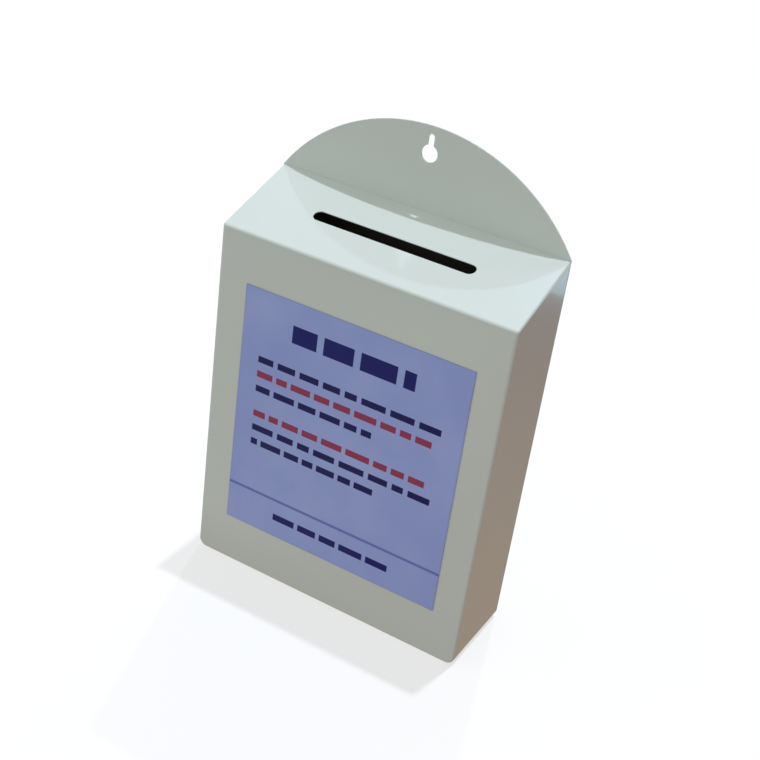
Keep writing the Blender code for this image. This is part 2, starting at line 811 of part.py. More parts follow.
def on_rays(rays, reach):
    """An outline round the lock's axis, as far out along each direction as a rule says."""
    return [(reach(ray) * cos(ray), LOCK_Y + reach(ray) * sin(ray)) for ray in rays]


def make_lock_housing(axis):
    """A head under the door and a body with two flats up through it, round one stepped bore."""
    rays = flatted_rays(LOCK_BODY, LOCK_FLATS)
    face = on_rays(rays, round_reach(LOCK_HEAD - 2 * LOCK_HEAD_EDGE))
    head = on_rays(rays, round_reach(LOCK_HEAD))
    body = on_rays(rays, flatted_reach(LOCK_BODY, LOCK_FLATS))
    bore = on_rays(rays, round_reach(PLUG_DIAMETER + 2 * PLUG_CLEARANCE))
    mouth = on_rays(rays, round_reach(PLUG_COLLAR + 2 * PLUG_CLEARANCE))
    shoulder = PLUG_COLLAR_TOP + PLUG_CLEARANCE
    levels = [
        (mouth, LOCK_FACE), (face, LOCK_FACE), (head, LOCK_FACE + LOCK_HEAD_EDGE), (head, LOCK_HEAD_TOP),
        (body, LOCK_HEAD_TOP), (body, LOCK_TOP), (bore, LOCK_TOP), (bore, shoulder), (mouth, shoulder),
    ]
    housing = lofted("lock_housing", levels, round_a_bore=True)
    dress(housing, lock_chrome("housing_chrome"))
    hang(housing, axis)


def make_lock_nut(axis):
    top = NUT_BOTTOM + NUT_HEIGHT
    radius = NUT_FLATS / 2 / cos(pi / NUT_SIDES)
    nut = prism("lock_nut", circle(0, LOCK_Y, radius, NUT_SIDES), "Z", NUT_BOTTOM, top)
    bore = circle(0, LOCK_Y, LOCK_BODY / 2 + SEAT_GAP, ROUND_SIDES)
    cut(nut, prism("nut_bore_cutter", bore, "Z", NUT_BOTTOM - OVERRUN, top + OVERRUN))
    dress(nut, lock_chrome("nut_chrome"))
    hang(nut, axis)


def make_lock_plug(axis):
    """The turning core: a collar at its face, a keyway, and a square tang with a screw hole on top."""
    rays = even_rays(ROUND_SIDES)
    collar = on_rays(rays, round_reach(PLUG_COLLAR))
    core = on_rays(rays, round_reach(PLUG_DIAMETER))
    tang = on_rays(rays, square_reach(TANG_SIDE))
    hole = on_rays(rays, round_reach(SCREW_HOLE))
    levels = [
        (collar, PLUG_FACE), (collar, PLUG_COLLAR_TOP), (core, PLUG_COLLAR_TOP), (core, LOCK_TOP),
        (tang, LOCK_TOP), (tang, TANG_TOP), (hole, TANG_TOP), (hole, SCREW_TIP - SEAT_GAP),
    ]
    plug = lofted("lock_plug", levels)
    half_width, half_length = KEYWAY_WIDTH / 2, KEYWAY_LENGTH / 2
    keyway = rectangle(-half_width, half_width, LOCK_Y - half_length, LOCK_Y + half_length)
    cut(plug, prism("plug_keyway_cutter", keyway, "Z", PLUG_FACE - OVERRUN, PLUG_FACE + KEYWAY_DEPTH))
    dress(plug, lock_chrome("plug_chrome"))
    hang(plug, axis)


def cam_outline():
    """The cam seen from above, pointing to -X, round at its hub and at its tip."""
    hub = CAM_HUB / 2
    tip = CAM_TIP / 2
    reach = CAM_REACH - tip
    lean = acos((hub - tip) / reach)
    points = arc(0, LOCK_Y, hub, lean - pi, pi - lean, HUB_STEPS)
    points += arc(-reach, LOCK_Y, tip, pi - lean, pi + lean, HUB_STEPS)
    return points


def make_lock_cam(axis):
    cam = prism("lock_cam", cam_outline(), "Z", CAM_BOTTOM, CAM_TOP)
    side = TANG_SIDE / 2 + CAM_PLAY
    low = (-side, LOCK_Y - side, CAM_BOTTOM - OVERRUN)
    cut(cam, block("cam_square_cutter", low, (side, LOCK_Y + side, CAM_TOP + OVERRUN)))
    dress(cam, zinc_steel("cam_zinc"))
    hang(cam, axis)


def make_cam_washer(axis):
    rays = even_rays(ROUND_SIDES)
    inner = on_rays(rays, round_reach(SCREW_HOLE))
    outer = on_rays(rays, round_reach(WASHER_DIAMETER))
    top = WASHER_BOTTOM + WASHER_SHEET
    levels = [(inner, WASHER_BOTTOM), (outer, WASHER_BOTTOM), (outer, top), (inner, top)]
    washer = lofted("cam_washer", levels, round_a_bore=True)
    dress(washer, zinc_steel("washer_zinc"))
    hang(washer, axis)


def make_cam_screw(axis):
    """A domed cross-head screw, its shank down in the plug."""
    shank = SCREW_SHANK / 2
    profile = [(0, SCREW_TIP), (shank, SCREW_TIP), (shank, SCREW_SEAT)]
    profile += domed_end(SCREW_SEAT, SCREW_HEAD_HEIGHT, SCREW_HEAD / 2, 1)
    screw = turned("cam_screw", profile, SMALL_SIDES)
    move_mesh(screw, Matrix.Translation(LOCK_AXIS))
    floor = SCREW_SEAT + SCREW_HEAD_HEIGHT - SCREW_CROSS_DEPTH
    long, short = SCREW_CROSS_LENGTH / 2, SCREW_CROSS_WIDTH / 2
    for index, (half_x, half_y) in enumerate([(long, short), (short, long)]):
        outline = rectangle(-half_x, half_x, LOCK_Y - half_y, LOCK_Y + half_y)
        cut(screw, prism(f"screw_cross_cutter_{index + 1}", outline, "Z", floor, floor + OVERRUN))
    dress(screw, zinc_steel("screw_zinc"))
    hang(screw, axis)


# Strike bracket and label

def strike_outline():
    """An angle seen from the side: one leg down the front wall, one leg back under the cam."""
    wall = FRONT + SHELL_SHEET + SEAT_GAP
    bottom = STRIKE_TOP - STRIKE_DROP
    end = wall + STRIKE_LEG
    centre = (wall + STRIKE_BEND, STRIKE_TOP - STRIKE_BEND)
    points = [(wall, bottom)]
    points += arc(*centre, STRIKE_BEND, pi, pi / 2, BEND_STEPS)
    points += [(end, STRIKE_TOP), (end, STRIKE_TOP - STRIKE_SHEET)]
    points += arc(*centre, STRIKE_BEND - STRIKE_SHEET, pi / 2, pi, BEND_STEPS)
    points.append((wall + STRIKE_SHEET, bottom))
    return points


def make_strike_bracket():
    strike = prism("strike_bracket", strike_outline(), "X", -STRIKE_WIDTH / 2, STRIKE_WIDTH / 2)
    dress(strike, white_paint("strike_paint"))


def make_label():
    half = LABEL_WIDTH / 2
    left, right = LABEL_OFFSET - half, LABEL_OFFSET + half
    outline = rectangle(left, right, LABEL_BOTTOM, LABEL_BOTTOM + LABEL_HEIGHT)
    label = prism("label_sheet", outline, "Y", FRONT - LABEL_PROUD, FRONT - LABEL_GAP)
    dress(label, label_print("label_print"))


def main():
    clear_scene()
    make_body_shell()
    make_lid()
    make_back_plate()
    make_strike_bracket()
    make_label()
    make_fixed_leaf()
    make_hinge_pin()
    door_axis = axis_empty("door_axis", HINGE_AXIS)
    make_door(door_axis)
    make_door_leaf(door_axis)
    make_rivets(door_axis)
    make_lock_housing(door_axis)
    make_lock_nut(door_axis)
    lock_axis = axis_empty("lock_axis", LOCK_AXIS, door_axis)
    make_lock_plug(lock_axis)
    make_lock_cam(lock_axis)
    make_cam_washer(lock_axis)
    make_cam_screw(lock_axis)


main()
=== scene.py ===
"""A wall-hung suggestion box in painted sheet steel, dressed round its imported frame.

Metres throughout. The front faces -Y, and the box stands on a pale floor.
"""
import json
from math import atan, cos, pi, radians, sin

import bmesh
import bpy
from mathutils import Matrix, Vector


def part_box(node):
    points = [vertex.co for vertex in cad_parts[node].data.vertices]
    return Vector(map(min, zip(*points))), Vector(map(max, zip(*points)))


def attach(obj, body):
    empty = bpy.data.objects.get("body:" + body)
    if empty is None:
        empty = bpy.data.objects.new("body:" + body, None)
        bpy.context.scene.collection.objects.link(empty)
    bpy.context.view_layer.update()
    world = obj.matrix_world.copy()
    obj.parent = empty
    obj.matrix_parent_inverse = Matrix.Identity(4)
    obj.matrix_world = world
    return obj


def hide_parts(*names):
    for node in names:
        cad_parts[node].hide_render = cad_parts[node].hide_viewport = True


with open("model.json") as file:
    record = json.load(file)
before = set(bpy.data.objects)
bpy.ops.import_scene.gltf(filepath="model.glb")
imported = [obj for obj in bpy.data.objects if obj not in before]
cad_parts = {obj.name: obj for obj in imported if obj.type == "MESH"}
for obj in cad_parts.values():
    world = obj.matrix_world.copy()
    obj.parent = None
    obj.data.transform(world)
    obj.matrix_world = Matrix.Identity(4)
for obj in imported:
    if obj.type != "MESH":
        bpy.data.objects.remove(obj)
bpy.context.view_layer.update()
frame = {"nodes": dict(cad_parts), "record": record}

# The box's sheets and bends
SHELL_LOW, SHELL_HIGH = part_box("body_shell")
PLATE_LOW, PLATE_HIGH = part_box("back_plate")
LABEL_LOW, LABEL_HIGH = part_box("label_sheet")
DOOR_LOW, DOOR_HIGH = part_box("door")
LOCK_LOW, LOCK_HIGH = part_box("lock_housing")
PLUG_LOW, PLUG_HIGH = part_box("lock_plug")
PIN_LOW, PIN_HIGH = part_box("hinge_pin")
SCREW_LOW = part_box("cam_screw")[0]
HALF_WIDTH = SHELL_HIGH.x
FRONT = SHELL_LOW.y
SHELL_REAR = SHELL_HIGH.y
PLATE_FACE = PLATE_LOW.y
BACK = PLATE_HIGH.y
BOX_DEPTH = BACK - FRONT
FRONT_HEIGHT = 0.2650
REAR_HEIGHT = 0.2895
LID_SLOPE = (REAR_HEIGHT - FRONT_HEIGHT) / BOX_DEPTH
SHEET = 0.0010
GAP = 0.0003
FRONT_BEND = 0.0020
BOTTOM_CORNER = 0.0065
REAR_EDGE = 0.0006
REAR_FLANGE = 0.0100
FRONT_LIP = 0.0090
SIDE_LIP = 0.0100
APERTURE_CORNER = 0.0030
DOOR_RECESS = 0.0050
BEYOND = 0.0200

# The sloping lid and its slot
LID_RIM = 0.0024
LID_EDGE = 0.0017
SKIRT_HEIGHT = 0.0090
SLOT_LENGTH = 0.1220
SLOT_WIDTH = 0.0095
SLOT_FROM_FRONT = 0.0346

# The door in the base
DOOR_CORNER = 0.0020
DOOR_BEND = 0.0015
FLANGE_SETBACK = 0.0060
HINGE_Y = (PIN_LOW.y + PIN_HIGH.y) / 2
RIVET_NODES = ("door_rivet_1", "door_rivet_2", "door_rivet_3", "door_rivet_4")
RIVET_SHANK = 0.0012
RIVET_HOLE = 0.0015
RIVET_HEAD = 0.0023
RIVET_TAIL = 0.0020
RIVET_LAND = 0.00015
RIVET_TAIL_HEIGHT = 0.0011
RIVET_HEAD_HEIGHT = 0.0009
DOME_SHARE = 0.60
STEM_RECESS = RIVET_HEAD_HEIGHT / 3
STEM_RISE = RIVET_HEAD_HEIGHT / 6

# The cam lock, as radii from its axis
LOCK_AXIS = ((LOCK_LOW.x + LOCK_HIGH.x) / 2, (LOCK_LOW.y + LOCK_HIGH.y) / 2)
LOCK_HEAD = 0.0110
LOCK_HEAD_EDGE = 0.0007
LOCK_RIM = 0.0006
LOCK_DISH = 0.0001
LOCK_BODY = 0.0080
LOCK_FLATS = 0.0068
LOCK_HEAD_TOP = DOOR_RECESS - GAP
PLUG_COLLAR = 0.0065
PLUG_COLLAR_HEIGHT = 0.0010
PLUG_CORE = 0.0055
PLUG_EDGE = 0.00025
PLUG_PLAY = 0.00015
TANG_HALF = 0.0028
SCREW_HOLE = 0.0020

# The keyway's width, length and depth, and the half width and the length of its side ward
KEYWAY = (0.0013, 0.0062, 0.0100)
KEYWAY_WARD = (0.0007, 0.0018)

# The label's corners and the upper edge of its sheet
LABEL_CORNER = 0.0006
LABEL_EDGE = 0.00008

# Tolerances and facets
NEAR = 0.00002
FACING = 0.99
BEND_SEGMENTS = 8
CORNER_SEGMENTS = 16
ROUND_PROFILE = 0.5
PLUG_SEGMENTS = 3
KEYWAY_SEGMENTS = 4
LABEL_CORNER_SEGMENTS = 4
LABEL_EDGE_SEGMENTS = 2
ROUND_SIDES = 64
RIVET_SIDES = 32
SMOOTH_ANGLE = radians(32)
FLAT_FACE_WEIGHT = 100

# Where the photograph was taken from, in metres, and with what lens, in millimetres
CAMERA_PLACE = (0.36417, -0.72450, 0.62999)
CAMERA_RIGHT = (0.85511, 0.50289, 0.12604)
CAMERA_UP = (-0.34501, 0.37050, 0.86238)
CAMERA_BACK = (0.38699, -0.78092, 0.49031)
CAMERA_LENS = 64.165
CAMERA_SENSOR = 36
CAMERA_CLIPS = (0.01, 50)


# Working in object and edit mode

def deselect():
    bpy.ops.object.select_all(action="DESELECT")


def take(piece):
    deselect()
    piece.select_set(True)
    bpy.context.view_layer.objects.active = piece


def name_new(name):
    """Names what was just added and puts its place into its mesh."""
    piece = bpy.context.object
    piece.name = name
    piece.data.name = name
    bpy.ops.object.transform_apply(location=True, rotation=True, scale=True)
    return piece


def add_block(name, low, high):
    deselect()
    low, high = Vector(low), Vector(high)
    bpy.ops.mesh.primitive_cube_add(size=1, location=(low + high) / 2, scale=high - low)
    return name_new(name)


def add_round(name, place, radius, low, high, sides=ROUND_SIDES):
    deselect()
    bpy.ops.mesh.primitive_cylinder_add(
        vertices=sides, radius=radius, depth=high - low, location=(*place, (low + high) / 2)
    )
    return name_new(name)


def open_mesh(piece, kind="EDGE"):
    take(piece)
    bpy.ops.object.mode_set(mode="EDIT")
    bpy.ops.mesh.select_mode(type=kind)
    bpy.ops.mesh.select_all(action="DESELECT")


def close_mesh():
    bpy.ops.object.mode_set(mode="OBJECT")


def pick_edges(piece, wanted):
    """Selects the edges whose two ends pass a test, in edit mode."""
    bpy.ops.mesh.select_all(action="DESELECT")
    mesh = bmesh.from_edit_mesh(piece.data)
    for edge in mesh.edges:
        if wanted(edge.verts[0].co, edge.verts[1].co):
            edge.select_set(True)
    bmesh.update_edit_mesh(piece.data)


def pick_corners(piece, place):
    """Selects a piece's corners at a place along Y, in edit mode."""
    bpy.ops.mesh.select_all(action="DESELECT")
    mesh = bmesh.from_edit_mesh(piece.data)
    for vert in mesh.verts:
        vert.select_set(close_to(vert.co.y, place))
    mesh.select_flush_mode()
    bmesh.update_edit_mesh(piece.data)


def pick_end(piece, upward):
    """Selects a piece's flat end, its top or its underside, in edit mode."""
    bpy.ops.mesh.select_all(action="DESELECT")
    mesh = bmesh.from_edit_mesh(piece.data)
    direction = 1 if upward else -1
    ends = [face for face in mesh.faces if face.normal.z * direction > FACING]
    places = [face.calc_center_median().z for face in ends]
    place = max(places) if upward else min(places)
    for face, height in zip(ends, places):
        face.select_set(close_to(height, place))
    bmesh.update_edit_mesh(piece.data)


def step_in(width, rise):
    """Draws the picked face in by a width and moves it up or down."""
    bpy.ops.mesh.inset(thickness=width, depth=0, use_even_offset=True)
    bpy.ops.transform.translate(value=(0, 0, rise))


def roll_over(width, rise, steps=BEND_SEGMENTS):
    """Rounds the rim of the picked face over, in steps of a quarter turn."""
    for step in range(steps):
        low, high = (pi / 2 * (step + ahead) / steps for ahead in (0, 1))
        step_in(width * (cos(low) - cos(high)), rise * (sin(high) - sin(low)))


def pull_out(rise):
    """Extrudes the picked face up or down."""
    bpy.ops.mesh.extrude_region_move(
        TRANSFORM_OT_translate={"value": (0, 0, rise), "orient_type": "GLOBAL"}
    )


def bevel_edges(piece, wanted, radius, segments):
    open_mesh(piece)
    pick_edges(piece, wanted)
    bpy.ops.mesh.bevel(offset=radius, segments=segments, profile=ROUND_PROFILE, affect="EDGES")
    close_mesh()


def slice_off(piece, place, direction):
    """Cuts away what lies beyond a plane, on the side its direction points to."""
    open_mesh(piece)
    bpy.ops.mesh.select_all(action="SELECT")
    bpy.ops.mesh.bisect(plane_co=place, plane_no=direction, use_fill=True, clear_outer=True)
    close_mesh()


def combine(piece, other, operation):
    take(piece)
    modifier = piece.modifiers.new("shape", "BOOLEAN")
    modifier.object = other
    modifier.operation = operation
    modifier.solver = "EXACT"
    bpy.ops.object.modifier_apply(modifier=modifier.name)
    bpy.data.objects.remove(other, do_unlink=True)


def carve(piece, cutter):
    combine(piece, cutter, "DIFFERENCE")


def weld_on(piece, other):
    combine(piece, other, "UNION")


def smooth(piece):
    """Smooth round bends next to flat faces that stay flat."""
    take(piece)
    bpy.ops.object.shade_smooth_by_angle(angle=SMOOTH_ANGLE)
    modifier = piece.modifiers.new("flat_faces", "WEIGHTED_NORMAL")
    modifier.keep_sharp = True
    modifier.weight = FLAT_FACE_WEIGHT
    bpy.ops.object.modifier_apply(modifier=modifier.name)


def close_to(value, place):
    return abs(value - place) < NEAR


def both_at(a, b, axis, place):
    """Whether two points both lie at a place on an axis."""
    return close_to(getattr(a, axis), place) and close_to(getattr(b, axis), place)


def upright(a, b):
    """Whether an edge between two points runs straight up."""
    return close_to(a.x, b.x) and close_to(a.y, b.y)


# Shader helpers

WHITE = (1, 1, 1, 1)

# Where a Mix node keeps its two colours and their blend
MIX_FIRST, MIX_SECOND, MIX_RESULT = 6, 7, 2


def new_material(name):
    material = bpy.data.materials.new(name)
    material.use_nodes = True
    tree = material.node_tree
    return material, tree, tree.nodes["Principled BSDF"]


def add_node(tree, kind, **settings):
    node = tree.nodes.new(kind)
    for key, value in settings.items():
        setattr(node, key, value)
    return node


def feed(tree, source, socket):
    """Links a socket, or sets a plain value."""
    if isinstance(source, bpy.types.NodeSocket):
        tree.links.new(source, socket)
    else:
        socket.default_value = source


def calculate(tree, operation, *values, clamp=False):
    node = add_node(tree, "ShaderNodeMath", operation=operation, use_clamp=clamp)
    for value, socket in zip(values, node.inputs):
        feed(tree, value, socket)
    return node.outputs[0]


def blend_colours(tree, share, first, second):
    node = add_node(tree, "ShaderNodeMix", data_type="RGBA")
    feed(tree, share, node.inputs["Factor"])
    feed(tree, first, node.inputs[MIX_FIRST])
    feed(tree, second, node.inputs[MIX_SECOND])
    return node.outputs[MIX_RESULT]


def remap(tree, value, low, high, new_low, new_high):
    node = add_node(tree, "ShaderNodeMapRange")
    for source, socket in zip((value, low, high, new_low, new_high), node.inputs):
        feed(tree, source, socket)
    return node.outputs[0]


def blend_zone(tree, value, reach, colour, beyond):
    """Blends one colour into another while a value runs over a reach."""
    return blend_colours(tree, remap(tree, value, *reach, 0.0, 1.0), colour, beyond)


def mix_shaders(tree, share, first, second):
    node = add_node(tree, "ShaderNodeMixShader")
    for source, socket in zip((share, first, second), node.inputs):
        feed(tree, source, socket)
    return node.outputs[0]


def noise(tree, place, scale, detail=2.0, rough_share=0.5):
    node = add_node(tree, "ShaderNodeTexNoise")
    feed(tree, place, node.inputs["Vector"])
    node.inputs["Scale"].default_value = scale
    node.inputs["Detail"].default_value = detail
    node.inputs["Roughness"].default_value = rough_share
    return node.outputs["Fac"]


def object_place(tree):
    return add_node(tree, "ShaderNodeTexCoord").outputs["Object"]


def split_axes(tree, place):
    axes = add_node(tree, "ShaderNodeSeparateXYZ")
    feed(tree, place, axes.inputs[0])
    return axes.outputs


def add_bump(tree, strength, depth, height):
    bump = add_node(tree, "ShaderNodeBump")
    bump.inputs["Distance"].default_value = depth
    feed(tree, strength, bump.inputs["Strength"])
    feed(tree, height, bump.inputs["Height"])
    return bump.outputs["Normal"]


def ray_kinds(tree):
    """Masks of the camera's own rays and of mirrored ones."""
    rays = add_node(tree, "ShaderNodeLightPath").outputs
    mirrored = calculate(tree, "MAXIMUM", rays["Is Glossy Ray"], rays["Is Transmission Ray"])
    return rays["Is Camera Ray"], mirrored


def new_group(name, inputs, outputs):
    group = bpy.data.node_groups.new(name, "ShaderNodeTree")
    for label, kind, value in inputs:
        socket = group.interface.new_socket(label, in_out="INPUT", socket_type=kind)
        socket.default_value = value
    for label, kind in outputs:
        group.interface.new_socket(label, in_out="OUTPUT", socket_type=kind)
    return group, group.nodes.new("NodeGroupInput"), group.nodes.new("NodeGroupOutput")


def use_group(tree, group, **values):
    node = add_node(tree, "ShaderNodeGroup", node_tree=group)
    for label, value in values.items():
        feed(tree, value, node.inputs[label])
    return node


# Effects that several finishes share

# A noise is its scale, detail and roughness share. A range runs from its first two values to
# its last two.
PAINT_DRIFT = (9.0, 3.0)
PAINT_DRIFT_RANGE = (0.35, 0.70, 0.0, 0.40)
PAINT_DUST = (420.0, 2.0)
PAINT_DUST_RANGE = (0.66, 0.78, 0.0, 0.30)
PAINT_RUBS = (22.0, 4.0, 0.6)
PAINT_RUBS_RANGE = (0.30, 0.80, 0.0, 0.05)
PEEL = (900.0, 2.0)
WAVES = (16.0, 1.0)
WAVES_HEIGHT = 9.0
PEEL_DEPTH = 0.0001
GRAIN = (1400.0, 3.0, 0.6)
GRAIN_STRETCH = (0.06, 1.0, 1.0)
GRAIN_DEPTH = 0.00004
SPOTS = (160.0, 3.0, 0.6)
SPOTS_TONE_RANGE = (0.45, 0.72, 0.0, 0.7)
SPOTS_ROUGH_RANGE = (0.35, 0.75, 0.0, 0.18)

# What the two effects put out
SKIN_OUTPUTS = (
    ("Colour", "NodeSocketColor"), ("Roughness", "NodeSocketFloat"), ("Normal", "NodeSocketVector")
)


def make_paint_film_group():
    """Sprayed enamel: drifts in tone, rubbed patches, orange peel and the sheet's own waves."""
    group, given, made = new_group(
        "paint_film",
        [
            ("Colour", "NodeSocketColor", (0.7, 0.7, 0.7, 1)),
            ("Shade", "NodeSocketColor", (0.6, 0.6, 0.6, 1)),
            ("Gloss", "NodeSocketFloat", 0.2),
            ("Peel", "NodeSocketFloat", 0.1),
        ],
        SKIN_OUTPUTS,
    )
    place = object_place(group)
    drift = remap(group, noise(group, place, *PAINT_DRIFT), *PAINT_DRIFT_RANGE)
    dust = remap(group, noise(group, place, *PAINT_DUST), *PAINT_DUST_RANGE)
    share = calculate(group, "ADD", drift, dust, clamp=True)
    colour = blend_colours(group, share, given.outputs["Colour"], given.outputs["Shade"])
    rubs = remap(group, noise(group, place, *PAINT_RUBS), *PAINT_RUBS_RANGE)
    roughness = calculate(group, "ADD", given.outputs["Gloss"], rubs)
    waves = calculate(group, "MULTIPLY", noise(group, place, *WAVES), WAVES_HEIGHT)
    height = calculate(group, "ADD", noise(group, place, *PEEL), waves)
    feed(group, colour, made.inputs["Colour"])
    feed(group, roughness, made.inputs["Roughness"])
    feed(group, add_bump(group, given.outputs["Peel"], PEEL_DEPTH, height), made.inputs["Normal"])
    return group


def make_metal_skin_group():
    """Plated or bare metal: a drawn grain along X, dull spots and small scratches."""
    group, given, made = new_group(
        "metal_skin",
        [
            ("Colour", "NodeSocketColor", (0.6, 0.6, 0.6, 1)),
            ("Dull", "NodeSocketColor", (0.4, 0.4, 0.4, 1)),
            ("Polish", "NodeSocketFloat", 0.2),
            ("Grain", "NodeSocketFloat", 0.2),
        ],
        SKIN_OUTPUTS,
    )
    place = object_place(group)
    stretch = add_node(group, "ShaderNodeMapping")
    stretch.inputs["Scale"].default_value = GRAIN_STRETCH
    feed(group, place, stretch.inputs["Vector"])
    grain = noise(group, stretch.outputs["Vector"], *GRAIN)
    spots = noise(group, place, *SPOTS)
    share = remap(group, spots, *SPOTS_TONE_RANGE)
    colour = blend_colours(group, share, given.outputs["Colour"], given.outputs["Dull"])
    extra = remap(group, spots, *SPOTS_ROUGH_RANGE)
    roughness = calculate(group, "ADD", given.outputs["Polish"], extra)
    feed(group, colour, made.inputs["Colour"])
    feed(group, roughness, made.inputs["Roughness"])
    feed(group, add_bump(group, given.outputs["Grain"], GRAIN_DEPTH, grain), made.inputs["Normal"])
    return group


def make_inside_group():
    """1 inside the box, where a dark tone is painted as shade: within its walls, above its base and
    below its lid.
    """
    group, given, made = new_group(
        "inside_of_box", [("Base", "NodeSocketFloat", 0.0)], [("Inside", "NodeSocketFloat")]
    )
    x, y, z = split_axes(group, object_place(group))

    def past(value, sign, place):
        """How far a value lies beyond a place, never below zero."""
        beyond = calculate(group, "MULTIPLY_ADD", value, sign, -sign * place)
        return calculate(group, "MAXIMUM", beyond, 0.0)

    def length(first, second):
        """The length of two distances at right angles, taken together."""
        joined = add_node(group, "ShaderNodeCombineXYZ")
        feed(group, first, joined.inputs[0])
        feed(group, second, joined.inputs[1])
        size = add_node(group, "ShaderNodeVectorMath", operation="LENGTH")
        feed(group, joined.outputs[0], size.inputs[0])
        return size.outputs["Value"]

    round_core = length(
        past(calculate(group, "ABSOLUTE", x), 1.0, HALF_WIDTH - BOTTOM_CORNER),
        past(z, -1.0, BOTTOM_CORNER),
    )
    bend_core = length(
        past(round_core, 1.0, BOTTOM_CORNER - FRONT_BEND), past(y, -1.0, FRONT + FRONT_BEND)
    )
    roof = FRONT_HEIGHT - LID_SLOPE * FRONT - SHEET / 2
    roof = calculate(group, "MULTIPLY_ADD", y, LID_SLOPE, roof)
    tests = (
        calculate(group, "LESS_THAN", bend_core, FRONT_BEND - SHEET / 2),
        calculate(group, "LESS_THAN", y, PLATE_FACE + SHEET / 4),
        calculate(group, "GREATER_THAN", z, given.outputs["Base"]),
        calculate(group, "LESS_THAN", z, roof),
    )
    inside = tests[0]
    for test in tests[1:]:
        inside = calculate(group, "MULTIPLY", inside, test)
    feed(group, inside, made.inputs["Inside"])
    return group


# Paints and platings

ENAMEL = {
    "Colour": (0.690, 0.745, 0.705, 1), "Shade": (0.655, 0.705, 0.665, 1),
    "Gloss": 0.20, "Peel": 0.12,
}
# Painted shade: a dull dark tone and roughness for the inside of the box, where little light gets
# in
INSIDE_SHADE = {
    "Colour": (0.110, 0.095, 0.080, 1), "Shade": (0.080, 0.070, 0.060, 1),
    "Gloss": 0.55, "Peel": 0.30,
}
ENAMEL_COAT = 0.5
COAT_ROUGHNESS = 0.06
ZINC_PLATE = {
    "Colour": (0.62, 0.62, 0.60, 1), "Dull": (0.42, 0.42, 0.41, 1),
    "Polish": 0.28, "Grain": 0.30,
}
RIVET_METAL = {
    "Colour": (0.74, 0.75, 0.76, 1), "Dull": (0.55, 0.55, 0.56, 1),
    "Polish": 0.32, "Grain": 0.20,
}
LOCK_PLATING = {
    "Colour": (0.76, 0.76, 0.77, 1), "Dull": (0.60, 0.60, 0.61, 1),
    "Polish": 0.10, "Grain": 0.05,
}


def white_enamel(name, paint_film, inside_of_box, base):
    """Gloss enamel outside, and inside the box, above a height, a dull dark tone painted as shade.
    """
    material, tree, shader = new_material(name)
    outside = use_group(tree, paint_film, **ENAMEL).outputs
    shade_inside = use_group(tree, paint_film, **INSIDE_SHADE).outputs
    # Where the painted shade goes: inside the box, above the base height
    inside = use_group(tree, inside_of_box, Base=base).outputs["Inside"]
    colour = blend_colours(tree, inside, outside["Colour"], shade_inside["Colour"])
    roughness = remap(tree, inside, 0.0, 1.0, outside["Roughness"], shade_inside["Roughness"])
    coat = remap(tree, inside, 0.0, 1.0, ENAMEL_COAT, 0.0)
    feed(tree, colour, shader.inputs["Base Color"])
    feed(tree, roughness, shader.inputs["Roughness"])
    feed(tree, coat, shader.inputs["Coat Weight"])
    shader.inputs["Coat Roughness"].default_value = COAT_ROUGHNESS
    feed(tree, outside["Normal"], shader.inputs["Normal"])
    return material


def metal_finish(name, metal_skin, values):
    material, tree, shader = new_material(name)
    skin = use_group(tree, metal_skin, **values)
    feed(tree, skin.outputs["Colour"], shader.inputs["Base Color"])
    feed(tree, skin.outputs["Roughness"], shader.inputs["Roughness"])
    feed(tree, skin.outputs["Normal"], shader.inputs["Normal"])
    shader.inputs["Metallic"].default_value = 1
    return material


# The printed label

PAPER = (0.388, 0.468, 0.901, 1)
PAPER_CLOUD = (0.456, 0.536, 0.931, 1)
PAPER_SHADE = (0.346, 0.418, 0.851, 1)
# Painted shade along the label's margin
PAPER_MARGIN_SHADE = (0.317, 0.340, 0.567, 1)
PAPER_SHINE = 0.25
NAVY = (0.006, 0.010, 0.160, 1)
BLACK = (0.004, 0.006, 0.110, 1)
RED = (0.350, 0.050, 0.115, 1)
RULE_BLUE = (0.180, 0.216, 0.607, 1)

# Rows of print, in millimetres but for the gaps' share of a word and the seed, then their ink.
# The rule is one long word.
ROW_VALUES = ("Left", "Right", "Middle", "Height", "Word", "Space", "Seed")
RULE_ROW = (-90.0, 90.0, 69.4, 2.4, 1000.0, 0.0, 0.5, RULE_BLUE)
PRINT_ROWS = (
    (-47.4, 49.0, 205.0, 13.5, 25.0, 0.10, 1.854, NAVY),
    (-72.4, 72.5, 176.5, 5.2, 18.5, 0.09, 11.234, BLACK),
    (-72.4, 67.1, 165.0, 5.2, 16.1, 0.09, 23.489, RED),
    (-72.4, 22.5, 153.5, 5.2, 16.8, 0.09, 37.263, BLACK),
    (-72.4, 66.5, 133.5, 5.2, 16.3, 0.09, 41.706, RED),
    (-72.4, 72.5, 122.0, 5.2, 18.8, 0.09, 52.896, BLACK),
    (-72.4, 29.5, 110.5, 5.2, 15.0, 0.09, 67.911, BLACK),
    (-47.8, 49.4, 55.0, 5.6, 18.0, 0.08, 71.469, NAVY),
)
INK_EDGE = 0.25
MILLIMETRES = 1000.0

# The paper's noises and ranges, its painted shade along the margin in millimetres from the edge,
# and its relief
PAPER_CLOUDS = (26.0, 4.0, 0.55)
PAPER_CLOUDS_RANGE = (0.42, 0.72, 0.0, 0.75)
PAPER_SHADES = (11.0, 2.0)
PAPER_SHADES_RANGE = (0.40, 0.75, 0.0, 0.8)
PAPER_MARGIN_SHADE_RANGE = (0.2, 1.3, 0.45, 0.0)
PAPER_RUBS = (60.0, 3.0)
PAPER_RUBS_RANGE = (0.3, 0.7, 0.34, 0.46)
FIBRES = (700.0, 3.0, 0.6)
RIPPLES = (14.0, 1.0)
RIPPLES_HEIGHT = 6.0
PAPER_RELIEF = 0.12
PAPER_DEPTH = 0.0001


